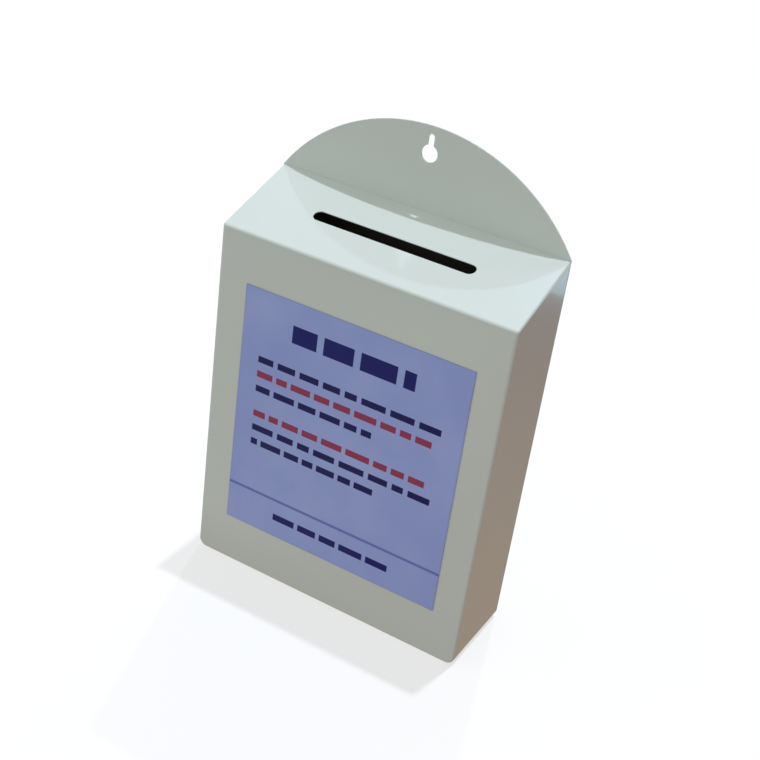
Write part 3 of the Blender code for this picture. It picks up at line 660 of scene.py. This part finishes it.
def make_print_row_group():
    """One row of plain bars like words, with soft ends, in millimetres over the sheet."""
    group, given, made = new_group(
        "print_row",
        [
            ("Across", "NodeSocketFloat", 0.0),
            ("Up", "NodeSocketFloat", 0.0),
            ("Left", "NodeSocketFloat", 0.0),
            ("Right", "NodeSocketFloat", 0.0),
            ("Middle", "NodeSocketFloat", 0.0),
            ("Height", "NodeSocketFloat", 1.0),
            ("Word", "NodeSocketFloat", 10.0),
            ("Space", "NodeSocketFloat", 0.1),
            ("Seed", "NodeSocketFloat", 0.0),
        ],
        [("Ink", "NodeSocketFloat")],
    )
    row = given.outputs

    def ink_over(room):
        """Ink where there is room left to an edge, softened along that edge."""
        return calculate(group, "DIVIDE", room, INK_EDGE, clamp=True)

    off = calculate(group, "ABSOLUTE", calculate(group, "SUBTRACT", row["Up"], row["Middle"]))
    half = calculate(group, "DIVIDE", row["Height"], 2.0)
    line = ink_over(calculate(group, "SUBTRACT", half, off))
    start = ink_over(calculate(group, "SUBTRACT", row["Across"], row["Left"]))
    end = ink_over(calculate(group, "SUBTRACT", row["Right"], row["Across"]))
    words = add_node(
        group, "ShaderNodeTexVoronoi", voronoi_dimensions="1D", feature="DISTANCE_TO_EDGE"
    )
    words.inputs["Scale"].default_value = 1.0
    step = calculate(group, "DIVIDE", row["Across"], row["Word"])
    feed(group, calculate(group, "ADD", step, row["Seed"]), words.inputs["W"])
    bar = calculate(group, "SUBTRACT", words.outputs["Distance"], row["Space"])
    bar = ink_over(calculate(group, "MULTIPLY", bar, row["Word"]))
    bar = calculate(group, "MULTIPLY", line, bar)
    ink = calculate(group, "MULTIPLY", bar, calculate(group, "MULTIPLY", start, end))
    feed(group, ink, made.inputs["Ink"])
    return group


def printed_paper(print_row):
    """Lavender laminated paper, clouded, with painted shade along its margin and its rows of print.
    """
    material, tree, shader = new_material("printed_paper")
    place = object_place(tree)
    x, _, z = split_axes(tree, place)
    across = calculate(tree, "MULTIPLY", x, MILLIMETRES)
    up = calculate(tree, "MULTIPLY", z, MILLIMETRES)
    cloud = remap(tree, noise(tree, place, *PAPER_CLOUDS), *PAPER_CLOUDS_RANGE)
    shade = remap(tree, noise(tree, place, *PAPER_SHADES), *PAPER_SHADES_RANGE)
    colour = blend_colours(tree, cloud, PAPER, PAPER_CLOUD)
    colour = blend_colours(tree, shade, colour, PAPER_SHADE)
    margins = []
    for value, low, high in (
        (across, LABEL_LOW.x, LABEL_HIGH.x), (up, LABEL_LOW.z, LABEL_HIGH.z)
    ):
        middle, half = (low + high) / 2 * MILLIMETRES, (high - low) / 2 * MILLIMETRES
        off = calculate(tree, "ABSOLUTE", calculate(tree, "SUBTRACT", value, middle))
        margins.append(calculate(tree, "SUBTRACT", half, off))
    # Painted shade: darker within about a millimetre of the sheet's edge
    edge = remap(tree, calculate(tree, "MINIMUM", *margins), *PAPER_MARGIN_SHADE_RANGE)
    colour = blend_colours(tree, edge, colour, PAPER_MARGIN_SHADE)
    for *values, ink in (RULE_ROW, *PRINT_ROWS):
        row = use_group(tree, print_row, Across=across, Up=up, **dict(zip(ROW_VALUES, values)))
        colour = blend_colours(tree, row.outputs["Ink"], colour, ink)
    roughness = remap(tree, noise(tree, place, *PAPER_RUBS), *PAPER_RUBS_RANGE)
    ripples = calculate(tree, "MULTIPLY", noise(tree, place, *RIPPLES), RIPPLES_HEIGHT)
    height = calculate(tree, "ADD", noise(tree, place, *FIBRES), ripples)
    feed(tree, colour, shader.inputs["Base Color"])
    feed(tree, roughness, shader.inputs["Roughness"])
    shader.inputs["Specular IOR Level"].default_value = PAPER_SHINE
    feed(tree, add_bump(tree, PAPER_RELIEF, PAPER_DEPTH, height), shader.inputs["Normal"])
    return material


# The pressed shell

def add_pan(name, inset, front, rear, top, front_bend, rear_edge):
    """A block with the pan's round bottom corners and bends, set in by a wall."""
    half = HALF_WIDTH - inset
    pan = add_block(name, (-half, front, inset), (half, rear, top))
    bevel_edges(
        pan, lambda a, b: both_at(a, b, "z", inset) and close_to(a.x, b.x),
        BOTTOM_CORNER - inset, CORNER_SEGMENTS
    )
    for place, radius in ((front, front_bend), (rear, rear_edge)):
        if radius:
            bevel_edges(
                pan, lambda a, b: both_at(a, b, "y", place) and not both_at(a, b, "z", top),
                radius, BEND_SEGMENTS
            )
    return pan


def make_shell():
    """The pan, cut to the lid's slope, open at the rear and lipped round the door's opening."""
    top = REAR_HEIGHT + BEYOND
    shell = add_pan("shell_skin", 0, FRONT, SHELL_REAR, top, FRONT_BEND, REAR_EDGE)
    slice_off(shell, (0, FRONT, FRONT_HEIGHT - LID_RIM), (0, -LID_SLOPE, 1))
    carve(shell, add_pan(
        "cavity", SHEET, FRONT + SHEET, SHELL_REAR - SHEET, top + BEYOND, FRONT_BEND - SHEET, 0
    ))
    narrow, wide = HALF_WIDTH - REAR_FLANGE, HALF_WIDTH - SHEET
    step = REAR_HEIGHT - LID_RIM - 2 * SKIRT_HEIGHT
    near, far = SHELL_REAR - 2 * SHEET, SHELL_REAR + BEYOND
    carve(shell, add_block("window", (-narrow, near, SHEET), (narrow, far, step + SHEET)))
    carve(shell, add_block("wide_window", (-wide, near, step), (wide, far, top + BEYOND)))
    half, front = HALF_WIDTH - SIDE_LIP, FRONT + FRONT_LIP
    aperture = add_block("aperture", (-half, front, -BEYOND), (half, far, SHEET + GAP))
    bevel_edges(
        aperture, lambda a, b: both_at(a, b, "y", front) and close_to(a.x, b.x),
        APERTURE_CORNER, BEND_SEGMENTS
    )
    carve(shell, aperture)
    smooth(shell)
    return shell


# The flat sloping lid

def add_lid_slab(name, half, front, rear, top_drop, bottom_drop):
    """A sheet laid on the lid's slope: a block whose rear end is lifted."""
    slope_rise = LID_SLOPE * (rear - front)
    start = FRONT_HEIGHT + LID_SLOPE * (front - FRONT)
    slab = add_block(name, (-half, front, start - bottom_drop), (half, rear, start - top_drop))
    open_mesh(slab, "VERT")
    pick_corners(slab, rear)
    bpy.ops.transform.translate(value=(0, 0, slope_rise))
    close_mesh()
    return slab


def add_lid_cap():
    """The lid's sheet: its outline laid on the slope and raised, its upper edge rolled over."""
    reach = PLATE_FACE + BEYOND - FRONT
    start = (0, FRONT, 0)
    deselect()
    # A plane of side 1 that begins at the box's front
    bpy.ops.mesh.primitive_plane_add(size=1, location=(0, FRONT + 1 / 2, 0))
    cap = name_new("lid_skin")
    open_mesh(cap, "VERT")
    bpy.ops.mesh.select_all(action="SELECT")
    bpy.ops.transform.resize(value=(2 * HALF_WIDTH, reach, 1), center_override=start)
    pick_corners(cap, FRONT)
    bpy.ops.mesh.bevel(
        offset=FRONT_BEND, segments=BEND_SEGMENTS, profile=ROUND_PROFILE, affect="VERTICES"
    )
    bpy.ops.mesh.select_all(action="SELECT")
    tilt = atan(LID_SLOPE)
    bpy.ops.transform.resize(value=(1, 1 / cos(tilt), 1), center_override=start)
    bpy.ops.transform.rotate(value=-tilt, orient_axis="X", center_override=start)
    bpy.ops.transform.translate(value=(0, 0, FRONT_HEIGHT - LID_RIM))
    bpy.ops.mesh.select_mode(type="FACE")
    bpy.ops.mesh.select_all(action="SELECT")
    pull_out(LID_RIM - LID_EDGE)
    roll_over(LID_EDGE, LID_EDGE)
    bpy.ops.mesh.select_all(action="SELECT")
    bpy.ops.mesh.normals_make_consistent(inside=False)
    close_mesh()
    slice_off(cap, (0, PLATE_FACE, 0), (0, 1, 0))
    return cap


def make_lid():
    """The cap with its skirts below, hollow inside them, and the letter slot."""
    lid = add_lid_cap()
    inset = SHEET + GAP
    low = LID_RIM + SKIRT_HEIGHT
    weld_on(lid, add_lid_slab(
        "skirts", HALF_WIDTH - inset, FRONT + inset, PLATE_FACE - GAP, SHEET / 2, low
    ))
    inset += SHEET
    carve(lid, add_lid_slab(
        "hollow", HALF_WIDTH - inset, FRONT + inset, PLATE_FACE - GAP - SHEET, SHEET, low + BEYOND
    ))
    carve(lid, add_slot_punch())
    smooth(lid)
    return lid


def add_slot_punch():
    """The punch of the letter slot, round at both ends and square to the sheet."""
    half_length, half_width = SLOT_LENGTH / 2, SLOT_WIDTH / 2
    punch = add_block(
        "slot_punch", (-half_length, -half_width, -BEYOND), (half_length, half_width, BEYOND)
    )
    bevel_edges(punch, upright, half_width - NEAR, CORNER_SEGMENTS)
    take(punch)
    punch.rotation_euler = (atan(LID_SLOPE), 0, 0)
    punch.location = (0, FRONT + SLOT_FROM_FRONT, FRONT_HEIGHT + LID_SLOPE * SLOT_FROM_FRONT)
    bpy.ops.object.transform_apply(location=True, rotation=True, scale=True)
    return punch


# The door in the base and its rivets

def add_lock_body(name, spare, low, high):
    """The lock's body: round, with a flat on each side."""
    body = add_round(name, LOCK_AXIS, LOCK_BODY + spare, low, high)
    x, y = LOCK_AXIS
    for side in (-1, 1):
        near, far = sorted((x + side * (LOCK_FLATS + spare), x + side * (LOCK_BODY + BEYOND)))
        carve(body, add_block(
            "flat", (near, y - BEYOND, low - BEYOND), (far, y + BEYOND, high + BEYOND)
        ))
    return body


def add_tray(name, inset, top):
    """The door's outer or inner block, round at its front corners and its upper bends."""
    beyond = BEYOND if inset else 0
    front, rear = DOOR_LOW.y + inset, DOOR_HIGH.y + beyond
    low = (DOOR_LOW.x + inset, front, DOOR_LOW.z - beyond)
    tray = add_block(name, low, (DOOR_HIGH.x - inset, rear, top))
    bevel_edges(
        tray, lambda a, b: both_at(a, b, "y", front) and close_to(a.x, b.x),
        DOOR_CORNER - inset, BEND_SEGMENTS
    )
    bevel_edges(
        tray, lambda a, b: both_at(a, b, "z", top) and not both_at(a, b, "y", rear),
        DOOR_BEND - inset, BEND_SEGMENTS
    )
    return tray


def rivet_place(node):
    low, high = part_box(node)
    return (low.x + high.x) / 2, (low.y + high.y) / 2


def make_door():
    """The door, its flanges turned down and cut back beside the hinge."""
    door = add_tray("door_skin", 0, DOOR_HIGH.z)
    carve(door, add_tray("tray", SHEET, DOOR_HIGH.z - SHEET))
    half, top = DOOR_HIGH.x + BEYOND, DOOR_HIGH.z + BEYOND
    low = (-half, HINGE_Y - FLANGE_SETBACK, -BEYOND)
    high = (half, HINGE_Y + BEYOND, DOOR_RECESS - GAP)
    carve(door, add_block("setback", low, high))
    carve(door, add_lock_body("lock_hole", GAP, 0, top))
    for node in RIVET_NODES:
        place = rivet_place(node)
        carve(door, add_round("rivet_hole", place, RIVET_HOLE, 0, top, RIVET_SIDES))
    smooth(door)
    return door


def make_rivet(node):
    """A blind rivet: a domed head with its broken stem below, a smaller dome above."""
    low, high = (corner.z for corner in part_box(node))
    seat, end = low + RIVET_HEAD_HEIGHT, high - RIVET_TAIL_HEIGHT
    place = rivet_place(node)
    rivet = add_round("domed_rivet_1", place, RIVET_SHANK, seat, end, RIVET_SIDES)
    open_mesh(rivet, "FACE")
    for direction, start, radius, height in (
        (1, end, RIVET_TAIL, RIVET_TAIL_HEIGHT), (-1, seat, RIVET_HEAD, RIVET_HEAD_HEIGHT)
    ):
        pick_end(rivet, direction > 0)
        pull_out(0)
        spread = radius / RIVET_SHANK
        bpy.ops.transform.resize(value=(spread, spread, 1), center_override=(*place, start))
        pull_out(direction * RIVET_LAND)
        roll_over(radius * DOME_SHARE, direction * (height - RIVET_LAND))
    step_in(RIVET_LAND, STEM_RECESS)
    step_in(RIVET_LAND, -STEM_RISE)
    close_mesh()
    smooth(rivet)
    return rivet


def make_rivets():
    """The first rivet and copies of it at the other holes."""
    first = make_rivet(RIVET_NODES[0])
    start = rivet_place(RIVET_NODES[0])
    rivets = [first]
    for index, node in enumerate(RIVET_NODES[1:], 2):
        place = rivet_place(node)
        twin = bpy.data.objects.new(f"domed_rivet_{index}", first.data.copy())
        twin.data.name = twin.name
        twin.data.transform(Matrix.Translation((place[0] - start[0], place[1] - start[1], 0)))
        bpy.context.collection.objects.link(twin)
        rivets.append(twin)
    return rivets


# The cam lock

def make_lock_barrel():
    """The lock's head with a rolled edge and a thin rim, its body and its stepped bore."""
    head = add_round("lock_barrel", LOCK_AXIS, LOCK_HEAD, LOCK_LOW.z, LOCK_HEAD_TOP)
    open_mesh(head, "FACE")
    pick_end(head, False)
    bpy.ops.transform.translate(value=(0, 0, LOCK_HEAD_EDGE))
    roll_over(LOCK_HEAD_EDGE, -LOCK_HEAD_EDGE)
    step_in(LOCK_RIM, 0)
    step_in(LOCK_DISH, LOCK_DISH)
    close_mesh()
    weld_on(head, add_lock_body("body", 0, LOCK_HEAD_TOP - LOCK_DISH, LOCK_HIGH.z))
    step = PLUG_LOW.z + PLUG_COLLAR_HEIGHT + PLUG_PLAY
    carve(head, add_round("mouth", LOCK_AXIS, PLUG_COLLAR + PLUG_PLAY, 0, step))
    carve(head, add_round("bore", LOCK_AXIS, PLUG_CORE + PLUG_PLAY, 0, LOCK_HIGH.z + BEYOND))
    smooth(head)
    return head


def make_key_plug():
    """The turning core: a collar at its face with the keyway, and a square tang for the cam."""
    x, y = LOCK_AXIS
    collar_top = PLUG_LOW.z + PLUG_COLLAR_HEIGHT
    plug = add_round("key_plug", LOCK_AXIS, PLUG_COLLAR, PLUG_LOW.z + PLUG_EDGE, collar_top)
    open_mesh(plug, "FACE")
    pick_end(plug, False)
    roll_over(PLUG_EDGE, -PLUG_EDGE, PLUG_SEGMENTS)
    pick_end(plug, True)
    step_in(PLUG_COLLAR - PLUG_CORE, 0)
    pull_out(LOCK_HIGH.z - collar_top)
    close_mesh()
    low, high = LOCK_HIGH.z - SHEET, PLUG_HIGH.z
    tang = add_block(
        "tang", (x - TANG_HALF, y - TANG_HALF, low), (x + TANG_HALF, y + TANG_HALF, high)
    )
    bevel_edges(tang, upright, PLUG_EDGE, PLUG_SEGMENTS)
    weld_on(plug, tang)
    carve(plug, add_round(
        "screw_hole", LOCK_AXIS, SCREW_HOLE, SCREW_LOW.z - GAP, high + BEYOND, RIVET_SIDES
    ))
    width, length, depth = KEYWAY
    ward_half, ward_length = KEYWAY_WARD
    top = PLUG_LOW.z + depth
    for name, middle, half_x, half_y in (
        ("keyway", x, width / 2, length / 2), ("ward", x + width / 2, ward_half, ward_length / 2)
    ):
        slot = add_block(name, (middle - half_x, y - half_y, 0), (middle + half_x, y + half_y, top))
        bevel_edges(slot, upright, PLUG_EDGE, KEYWAY_SEGMENTS)
        carve(plug, slot)
    smooth(plug)
    return plug


# The label, a thin printed sheet

def make_label():
    label = add_block("label_print", LABEL_LOW, LABEL_HIGH)
    bevel_edges(
        label, lambda a, b: close_to(a.x, b.x) and close_to(a.z, b.z),
        LABEL_CORNER, LABEL_CORNER_SEGMENTS
    )
    bevel_edges(
        label, lambda a, b: both_at(a, b, "y", LABEL_LOW.y), LABEL_EDGE, LABEL_EDGE_SEGMENTS
    )
    smooth(label)
    return label


# Stage, lights and camera

# The floor, white to the camera with the box's shadow. To soft rays it glows in one tone, painted
# bounce light, and to mirrored rays in zones of colour, painted reflections of a room round it.
# Each place is where a zone begins and where it is full.
FLOOR_SIZE = 12
FLOOR_WHITE = (0.95, 0.95, 0.95, 1)
WHITE_SHARE = 0.62
FLOOR_BOUNCE = (0.32, 0.29, 0.27, 1)
FLOOR_NEAR = (0.44, 0.28, 0.18, 1)
FLOOR_FAR = (0.27, 0.17, 0.17, 1)
FAR_PLACE = (0.05, 0.56)
FLOOR_FRONT = (0.85, 0.76, 0.70, 1)
FRONT_PLACE = (-0.04, -0.08)
FLOOR_RIGHT = (0.64, 0.42, 0.42, 1)
RIGHT_PLACE = (-0.10, 0.02)
FLOOR_LEFT = (0.75, 0.78, 0.74, 1)
LEFT_PLACE = (-0.05, -0.40)
FLOOR_OUT = (0.40, 0.42, 0.41, 1)
OUT_PLACE = (-0.52, -0.60)
FLOOR_BRIGHT = (0.85, 1.20, 1.45, 1)
BRIGHT_PLACE = (0.578, 0.587)
FLOOR_BEHIND = (0.52, 0.54, 0.54, 1)
BEHIND_PLACE = (0.11, 0.05)
FLOOR_UNDER = (0.50, 0.50, 0.48, 1)
UNDER_PLACE = (0.111, 0.102)

# The surround, by direction. The right is measured along an axis turned from X towards Y.
SKY_FRONT = (0.68, 0.72, 0.70, 1)
SKY_BACK = (0.42, 0.44, 0.44, 1)
BACK_REACH = (-0.20, 0.40)
SKY_RIGHT = (0.12, 0.05, 0.02, 1)
RIGHT_AXIS = (0.85, 0.53)
RIGHT_REACH = (0.25, 0.70)
SKY_REAR = (0.85, 0.87, 0.87, 1)
REAR_REACH = (0.60, 0.95)
SKY_MIRRORED = (0.55, 0.58, 0.58, 1)
WINDOW = (1.00, 1.30, 1.80, 1)
WINDOW_PLACE = (-0.285, 0.430, 0.857)
WINDOW_REACH = (0.010, 0.055)

# The lamps: strength, colour, spread in degrees and the direction towards them
CEILING_LAMP = (1.74, (0.82, 0.868, 0.99), 1.4, (0.026, 0.163, 1.0))
REAR_LAMP = (0.55, (0.71, 0.83, 0.96), 1.0, (-0.185, 0.592, 0.783))
LAMP_DISTANCE = 3.0


def floor_zones(tree):
    """Painted reflections: a warm table top, paler floor round it and a bright strip behind."""
    x, y, _ = split_axes(tree, object_place(tree))
    colour = blend_zone(tree, y, FAR_PLACE, FLOOR_NEAR, FLOOR_FAR)
    front = blend_zone(tree, x, RIGHT_PLACE, FLOOR_FRONT, FLOOR_RIGHT)
    colour = blend_zone(tree, y, FRONT_PLACE, colour, front)
    colour = blend_zone(tree, x, LEFT_PLACE, colour, FLOOR_LEFT)
    colour = blend_zone(tree, y, OUT_PLACE, colour, FLOOR_OUT)
    colour = blend_zone(tree, y, BRIGHT_PLACE, colour, FLOOR_BRIGHT)
    behind = calculate(tree, "GREATER_THAN", y, 0.0)
    behind = calculate(tree, "MULTIPLY", behind, remap(tree, x, *BEHIND_PLACE, 0.0, 1.0))
    colour = blend_colours(tree, behind, colour, FLOOR_BEHIND)
    off_y = calculate(tree, "ADD", calculate(tree, "ABSOLUTE", y), HALF_WIDTH - BOX_DEPTH / 2)
    off = calculate(tree, "MAXIMUM", calculate(tree, "ABSOLUTE", x), off_y)
    return blend_zone(tree, off, UNDER_PLACE, colour, FLOOR_UNDER)


def make_floor():
    """A floor that shows the box's shadow to the camera and is clear from below."""
    deselect()
    bpy.ops.mesh.primitive_plane_add(size=FLOOR_SIZE, location=(0, 0, 0))
    floor = name_new("floor")
    material, tree, shader = new_material("pale_floor")
    camera, mirrored = ray_kinds(tree)
    # Painted light: to all rays but the camera's the floor glows, one tone as bounce light and
    # zones as reflections
    around = add_node(tree, "ShaderNodeEmission")
    tone = blend_colours(tree, mirrored, FLOOR_BOUNCE, floor_zones(tree))
    feed(tree, tone, around.inputs["Color"])
    shader.inputs["Base Color"].default_value = FLOOR_WHITE
    shader.inputs["Roughness"].default_value = 1
    shader.inputs["Specular IOR Level"].default_value = 0
    white = add_node(tree, "ShaderNodeEmission")
    seen = mix_shaders(tree, WHITE_SHARE, shader.outputs[0], white.outputs[0])
    top = mix_shaders(tree, camera, around.outputs[0], seen)
    below = add_node(tree, "ShaderNodeBsdfTransparent")
    side = add_node(tree, "ShaderNodeNewGeometry")
    sided = mix_shaders(tree, side.outputs["Backfacing"], top, below.outputs[0])
    feed(tree, sided, tree.nodes["Material Output"].inputs["Surface"])
    floor.data.materials.append(material)


def make_world():
    """A soft surround, warm and dim to the right, a pale room with a window to mirrored rays."""
    world = bpy.data.worlds.new("studio_surround")
    bpy.context.scene.world = world
    world.use_nodes = True
    tree = world.node_tree
    tree.nodes.clear()
    direction = add_node(tree, "ShaderNodeTexCoord").outputs["Generated"]
    x, y, _ = split_axes(tree, direction)
    camera, mirrored = ray_kinds(tree)
    along_x, along_y = RIGHT_AXIS
    to_right = calculate(tree, "MULTIPLY", x, along_x)
    to_right = calculate(tree, "MULTIPLY_ADD", y, along_y, to_right)
    colour = blend_zone(tree, y, BACK_REACH, SKY_FRONT, SKY_BACK)
    colour = blend_zone(tree, to_right, RIGHT_REACH, colour, SKY_RIGHT)
    colour = blend_zone(tree, y, REAR_REACH, colour, SKY_REAR)
    off = add_node(tree, "ShaderNodeVectorMath", operation="DISTANCE")
    feed(tree, direction, off.inputs[0])
    feed(tree, WINDOW_PLACE, off.inputs[1])
    window = remap(tree, off.outputs["Value"], *WINDOW_REACH, 1.0, 0.0)
    room = blend_colours(tree, window, SKY_MIRRORED, WINDOW)
    colour = blend_colours(tree, mirrored, colour, room)
    colour = blend_colours(tree, camera, colour, WHITE)
    background = add_node(tree, "ShaderNodeBackground")
    feed(tree, colour, background.inputs["Color"])
    output = add_node(tree, "ShaderNodeOutputWorld")
    feed(tree, background.outputs[0], output.inputs["Surface"])


def add_lamp(name, strength, colour, spread, to_lamp):
    """A sun lamp, out along a direction from the box's top and facing it."""
    data = bpy.data.lights.new(name, "SUN")
    data.energy = strength
    data.color = colour
    data.angle = radians(spread)
    lamp = bpy.data.objects.new(name, data)
    bpy.context.collection.objects.link(lamp)
    direction = Vector(to_lamp).normalized()
    lamp.location = Vector((0, 0, REAR_HEIGHT)) + direction * LAMP_DISTANCE
    lamp.rotation_mode = "QUATERNION"
    lamp.rotation_quaternion = (-direction).to_track_quat("-Z", "Y")


def make_lights():
    """A small lamp overhead, for the head's crisp shadow, and a weak one behind on the left."""
    add_lamp("ceiling_lamp", *CEILING_LAMP)
    add_lamp("rear_lamp", *REAR_LAMP)


def make_camera():
    data = bpy.data.cameras.new("camera")
    data.lens = CAMERA_LENS
    data.sensor_width = CAMERA_SENSOR
    data.clip_start, data.clip_end = CAMERA_CLIPS
    camera = bpy.data.objects.new("camera", data)
    bpy.context.collection.objects.link(camera)
    turn = Matrix((CAMERA_RIGHT, CAMERA_UP, CAMERA_BACK)).transposed().to_4x4()
    camera.matrix_world = Matrix.Translation(CAMERA_PLACE) @ turn
    bpy.context.scene.camera = camera


# Dressing the pieces

def dress(piece, material, body, node):
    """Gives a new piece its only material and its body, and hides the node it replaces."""
    piece.data.materials.clear()
    piece.data.materials.append(material)
    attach(piece, body)
    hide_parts(node)


def dress_frame_nodes(finishes, door_enamel):
    slots = {part["node"]: part["material_slot"] for part in frame["record"]["subparts"]}
    for name, node in frame["nodes"].items():
        material = door_enamel if name == "door" else finishes[slots[name]]
        if not node.data.materials:
            node.data.materials.append(material)
        for index in range(len(node.data.materials)):
            node.data.materials[index] = material


def main():
    paint_film = make_paint_film_group()
    metal_skin = make_metal_skin_group()
    inside_of_box = make_inside_group()
    enamel = white_enamel("white_enamel", paint_film, inside_of_box, SHEET / 2)
    door_enamel = white_enamel("door_enamel", paint_film, inside_of_box, DOOR_RECESS + SHEET / 2)
    paper = printed_paper(make_print_row_group())
    finishes = {
        "white_paint": enamel,
        "label_print": paper,
        "zinc_steel": metal_finish("zinc_plate", metal_skin, ZINC_PLATE),
        "rivet_aluminium": metal_finish("rivet_metal", metal_skin, RIVET_METAL),
        "lock_chrome": metal_finish("lock_plating", metal_skin, LOCK_PLATING),
    }
    dress_frame_nodes(finishes, door_enamel)
    dress(make_shell(), enamel, "box", "body_shell")
    dress(make_lid(), enamel, "box", "lid")
    dress(make_label(), paper, "box", "label_sheet")
    dress(make_door(), door_enamel, "base_door", "door")
    for rivet, node in zip(make_rivets(), RIVET_NODES):
        dress(rivet, finishes["rivet_aluminium"], "base_door", node)
    dress(make_lock_barrel(), finishes["lock_chrome"], "base_door", "lock_housing")
    dress(make_key_plug(), finishes["lock_chrome"], "lock_core", "lock_plug")
    make_floor()
    make_world()
    make_lights()
    make_camera()
    bpy.context.scene.view_settings.view_transform = "Standard"


main()
